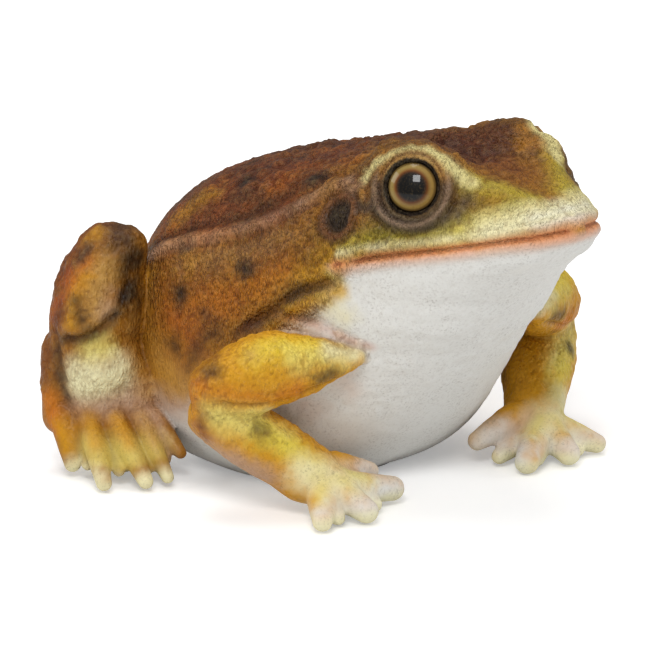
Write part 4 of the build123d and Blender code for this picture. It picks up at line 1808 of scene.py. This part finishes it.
    @property
    def rods(self) -> Sequence[tuple[Body, float]]:
        """Haunch, thigh lobe, calf, shank, instep, toes and webs.

        Returns:
            The bodies, each with the width of its fillet.
        """
        rod, pad = self.rod, self.pad
        toes = [
            (rod((130, -114, 30), (134, -102, 8), 8, 6.4, 4.8), 2),
            (rod((123, -101, 31), (139.5, -70, 5.2), 7.2, 6.2, 4.4), 1.5),
            (rod((115, -90, 32), (122, -56, 5.6), 7.2, 6.2, 4.2), 1.5),
            (rod((104, -81, 32), (109, -53, 6), 6.6, 5.4, 3.6), 1.5),
            (rod((98, -76, 32), (96, -57, 16), 6, 5, 3.4), 3),
        ]
        webs = [
            (rod((126, -107, 26), (132, -92, 9), 6, 4.4, 3.2), 4),
            (rod((118, -96, 27), (127, -72, 9), 6, 4.4, 3.2), 4),
            (rod((109, -87, 28), (114, -64, 9), 6, 4.4, 3.2), 4),
            (rod((100, -80, 26), (101, -64, 12), 6, 5, 3.5), 4),
        ]
        return [
            (rod((112, -111, 66), (107, -102, 118), 22.5, 25.5, 19), 1),
            (pad((101, -95, 123), (12.5, 12.5, 12.5)), 5),
            (rod((114, -110, 110), (114, -113, 95), 13, 15, 13), 5),
            (rod((119, -99, 112), (123, -104, 82), 11, 13, 10), 4),
            (pad((112, -100, 63), (20.5, 20.5, 21.5)), 3),
            (rod((113, -107, 56), (112, -102, 26), 20, 18, 15), 4),
            (rod((100, -92, 52), (100, -90, 26), 14, 14, 11), 4),
            (rod((126, -125, 66), (127, -119, 30), 8, 9.5, 10.5), 5),
            (rod((112, -106, 18), (113, -84, 12), 16, 14, 9), 5),
        ] + toes + webs


@dataclass
class Eye:
    """Domed eye with its barrel, painted iris and pupil."""

    side: Side
    radius: float = 13.8
    dome: float = 5.2
    barrel: float = 5.0
    rings: int = 44
    around: int = 96

    def build(self, material: bpy.types.Material) -> bpy.types.Object:
        """Turn the eye and paint its rings.

        Args:
            material: The lacquered finish.

        Returns:
            The piece.
        """
        dial = TRUNK.eye(self.side.value)
        ball = (self.radius**2 + self.dome**2) / (2 * self.dome)
        reach = np.linspace(0.03, 1, self.rings) * self.radius
        rise = np.sqrt(ball**2 - reach**2) - (ball - self.dome)
        reach = np.concatenate([reach, [self.radius, self.radius - 0.6, 0.4]])
        rise = np.concatenate([rise, [-self.barrel + 0.6, -self.barrel, -self.barrel]])
        turn = np.linspace(0, 2 * math.pi, self.around, endpoint=False)
        n = dial.facing
        across = np.array((n[1], -n[0], 0)) / math.hypot(n[0], n[1])
        upward = np.cross(n, across)
        circle = np.cos(turn)[:, None] * across + np.sin(turn)[:, None] * upward
        points = dial.centre + rise[:, None, None] * n + reach[:, None, None] * circle[None]
        count = len(reach)
        grid = np.arange(count * self.around).reshape(count, self.around)
        inner, outer = grid[:-1], grid[1:]
        quads = np.stack([inner, outer, np.roll(outer, -1, 1), np.roll(inner, -1, 1)], 2).reshape(-1, 4)
        points = points.reshape(-1, 3)
        points = np.vstack([points, dial.centre + self.dome * n, dial.centre - self.barrel * n])
        tip, tail = len(points) - 2, len(points) - 1
        front = np.stack([grid[0], np.roll(grid[0], -1), np.full(self.around, tip)], 1)
        back = np.stack([np.roll(grid[-1], -1), grid[-1], np.full(self.around, tail)], 1)
        _, off, clock = dial.polar(Spots.listed(points))
        eye = Casting(points, [quads, front, back], np.tile(n, (len(points), 1)))
        eye.colours = self.paint(off, clock)
        eye.finish = np.zeros((len(points), 3))
        piece = eye.build(f"eye_globe_{self.side.word}")
        piece.data.materials.append(material)
        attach(piece, "root")
        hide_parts(f"eye_{self.side.word}")
        return piece

    def paint(self, off: Array, clock: Array) -> Array:
        """Colours of pupil, iris and rim.

        Args:
            off: Distance of each point from the middle of the eye.
            clock: Clock angle of each point.

        Returns:
            One linear colour per point.
        """
        iris = np.tile(Paint.IRIS.linear, (len(off), 1))
        tint(iris, Paint.TAN.linear, 0.5 * ease((off - 8) / 3) * (0.5 + 0.5 * np.cos(np.radians(clock - 120))))
        for paint, start, end in ((Paint.BROWN, 10.6, 8.0), (Paint.UMBER, 9.4, 7.2), (Paint.DARK, 8.2, 6.6)):
            tint(iris, paint.linear, ease((start - off) / (start - end)))
        iris *= (1 - 0.9 * ease((7.2 - off) / 1.4))[:, None]
        tint(iris, Paint.UMBER.linear, 0.6 * ease((off - 11.2) / 0.8))
        tint(iris, Paint.DARK.linear * 0.4, ease((off - 12.2) / 0.6))
        return np.clip(iris, 0, 1)


@dataclass(frozen=True)
class EyeFinish:
    """Thick clear lacquer over the painted eye."""

    name: str = "lacquered_eye"

    def make(self, groups: SkinGroups) -> bpy.types.Material:
        """Make the material.

        Args:
            groups: The shared node groups.

        Returns:
            The material.
        """
        material, nodes, shader, where = Nodes.material(self.name)
        paint, dark = nodes.attribute("paint"), (0.12, 0.08, 0.03, 1)
        nodes.fill(
            shader,
            Base_Color=nodes.nest(groups.speckle, Vector=where, Color=paint, Speck=dark, Scale=900.0, Amount=0.35)[0],
            Normal=nodes.bump(nodes.noise(where, 160.0, 1.0)["Fac"], 0.00012),
            Roughness=0.45,
            Specular_IOR_Level=0.1,
            Coat_Weight=0.55,
            Coat_Roughness=0.04,
        )
        return material


@dataclass(frozen=True)
class ResinFinish:
    """Bare cast resin of the closing plate, with sanding marks and pores."""

    name: str = "bare_resin"
    colour: Paint = Paint.SHADE_AND_RESIN_GREY

    def make(self, groups: SkinGroups) -> bpy.types.Material:
        """Make the material.

        Args:
            groups: The shared node groups.

        Returns:
            The material.
        """
        material, nodes, shader, where = Nodes.material(self.name)
        dull, lit = [(*(self.colour.linear * light), 1) for light in (0.8, 1.15)]
        tone, dark = nodes.mix(nodes.noise(where, 45.0, 5.0, 0.65)["Fac"], dull, lit), (0.2, 0.18, 0.16, 1)
        nodes.fill(
            shader,
            Base_Color=nodes.nest(groups.speckle, Vector=where, Color=tone, Speck=dark, Scale=500.0, Amount=0.6)[0],
            Normal=nodes.bump(nodes.noise(where, 700.0, 4.0)["Fac"], 0.0003),
            Roughness=0.75,
        )
        return material


@dataclass
class BasePlate:
    """Closing plate let into the underside."""

    def build(self, frame: dict, material: bpy.types.Material) -> bpy.types.Object:
        """Dress the plate, whose shape comes from the frame.

        Args:
            frame: The loaded frame.
            material: The bare resin.

        Returns:
            The plate.
        """
        plate = frame["nodes"]["base_plate"]
        plate.data.materials.clear()
        plate.data.materials.append(material)
        return plate


@dataclass
class Studio:
    """Camera, floor and lamps."""

    target: Place = (0.0, -0.064, 0.080)
    azimuth: float = -44.8
    elevation: float = 15.9
    distance: float = 3.0
    focal: float = 5640.0
    middle: tuple[float, float] = (466.3, 348.8)
    size: float = 645.0
    sensor: float = 36.0
    far_clip: float = 50.0
    shade: float = 0.30
    floor_half: float = 5.0
    floor_drop: float = 0.0002

    def build(self) -> list[bpy.types.Object]:
        """Place the camera, the floor and the lamps.

        Returns:
            The floor, which isn't part of the object.
        """
        a, e = math.radians(self.azimuth), math.radians(self.elevation)
        back = Vector((math.sin(a) * math.cos(e), -math.cos(a) * math.cos(e), math.sin(e)))
        right = Vector((math.cos(a), math.sin(a), 0))
        up = back.cross(right)
        seat = Vector(self.target) + back * self.distance
        centre = self.size / 2
        look = right * (centre - self.middle[0]) / self.focal - up * (centre - self.middle[1]) / self.focal - back
        data = bpy.data.cameras.new("camera")
        data.lens = self.focal / self.size * self.sensor
        data.sensor_width = self.sensor
        data.clip_end = self.far_clip
        camera = put("camera", data)
        camera.rotation_mode = "QUATERNION"
        camera.rotation_quaternion = look.to_track_quat("-Z", "Y")
        camera.location = seat
        bpy.context.scene.camera = camera
        bpy.context.scene.view_settings.view_transform = "Standard"
        self.lamps()
        self.sky()
        return [self.floor()]

    def lamps(self) -> None:
        """Soft boxes above and beside the figurine."""
        for name, place, size, power in (
            ("key", (-1.5, -1.3, 1.9), 0.9, 34.0),
            ("top", (0.1, 0.3, 2.2), 1.3, 22.0),
            ("fill", (1.8, -1.4, 0.8), 1.4, 12.0),
            ("rear", (-1.6, 1.4, 1.2), 1.0, 12.0),
        ):
            data = bpy.data.lights.new(name, "AREA")
            data.shape, data.size, data.energy = "SQUARE", size, power
            lamp = put(name, data)
            lamp.location = place
            lamp.rotation_mode = "QUATERNION"
            lamp.rotation_quaternion = (Vector((0, 0, 0.08)) - Vector(place)).to_track_quat("-Z", "Y")

    def sky(self) -> None:
        """Even pale surroundings."""
        world = bpy.data.worlds.new("studio")
        world.use_nodes = True
        bpy.context.scene.world = world
        nodes = Nodes(world.node_tree)
        rays = nodes.add("LightPath").outputs
        seen = nodes.math("MAXIMUM", rays["Is Camera Ray"], rays["Is Transmission Ray"])
        strength = nodes.ramp(seen, 0.0, 1.0, self.shade, 1.0)
        nodes.fill(world.node_tree.nodes["Background"], Color=WHITE, Strength=strength)

    def floor(self) -> bpy.types.Object:
        """Pale floor that keeps the figurine's shadow.

        Returns:
            The floor.
        """
        mesh = bpy.data.meshes.new("floor")
        corners = ((-1, -1), (1, -1), (1, 1), (-1, 1))
        mesh.from_pydata([(x * self.floor_half, y * self.floor_half, 0) for x, y in corners], [], [(0, 1, 2, 3)])
        plane = put("floor", mesh)
        plane.location.z = -self.floor_drop
        material, nodes, shader, where = Nodes.material("pale_floor")
        seen = nodes.add("LightPath").outputs["Is Camera Ray"]
        glow = nodes.ramp(nodes.vector("LENGTH", where).outputs["Value"], 0.5, 1.3, self.shade, 1.0)
        strength, grey = nodes.math("MULTIPLY", seen, glow), (0.86, 0.86, 0.86, 1)
        nodes.fill(shader, Base_Color=grey, Roughness=0.9, Emission_Color=WHITE, Emission_Strength=strength)
        mesh.materials.append(material)
        return plane


def main() -> None:
    """Build the figurine piece by piece."""
    logging.basicConfig(level=logging.INFO, format="%(message)s")
    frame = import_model()
    groups = SkinGroups()
    skin = SkinFinish("painted_skin").make(groups)
    Studio().build()
    limb_skin = SkinFinish("painted_limbs", cells=560.0, stretch=0.6, depth=0.0008, wash=0.5).make(groups)
    lacquer = EyeFinish().make(groups)
    pieces = [Trunk().build(skin), BasePlate().build(frame, ResinFinish().make(groups))]
    for side in Side:
        pieces.append(Eye(side).build(lacquer))
        far = side is Side.LEFT
        foreleg = Foreleg(side, bulk=2.5, inner_tip=(49, 62, 7)) if far else Foreleg(side)
        pieces.append(foreleg.build(limb_skin))
        pieces.append(HindLeg(side).build(limb_skin))
    for piece in pieces:
        LOG.info("%s: %d faces", piece.name, len(piece.data.polygons))


if __name__ == "__main__":
    main()
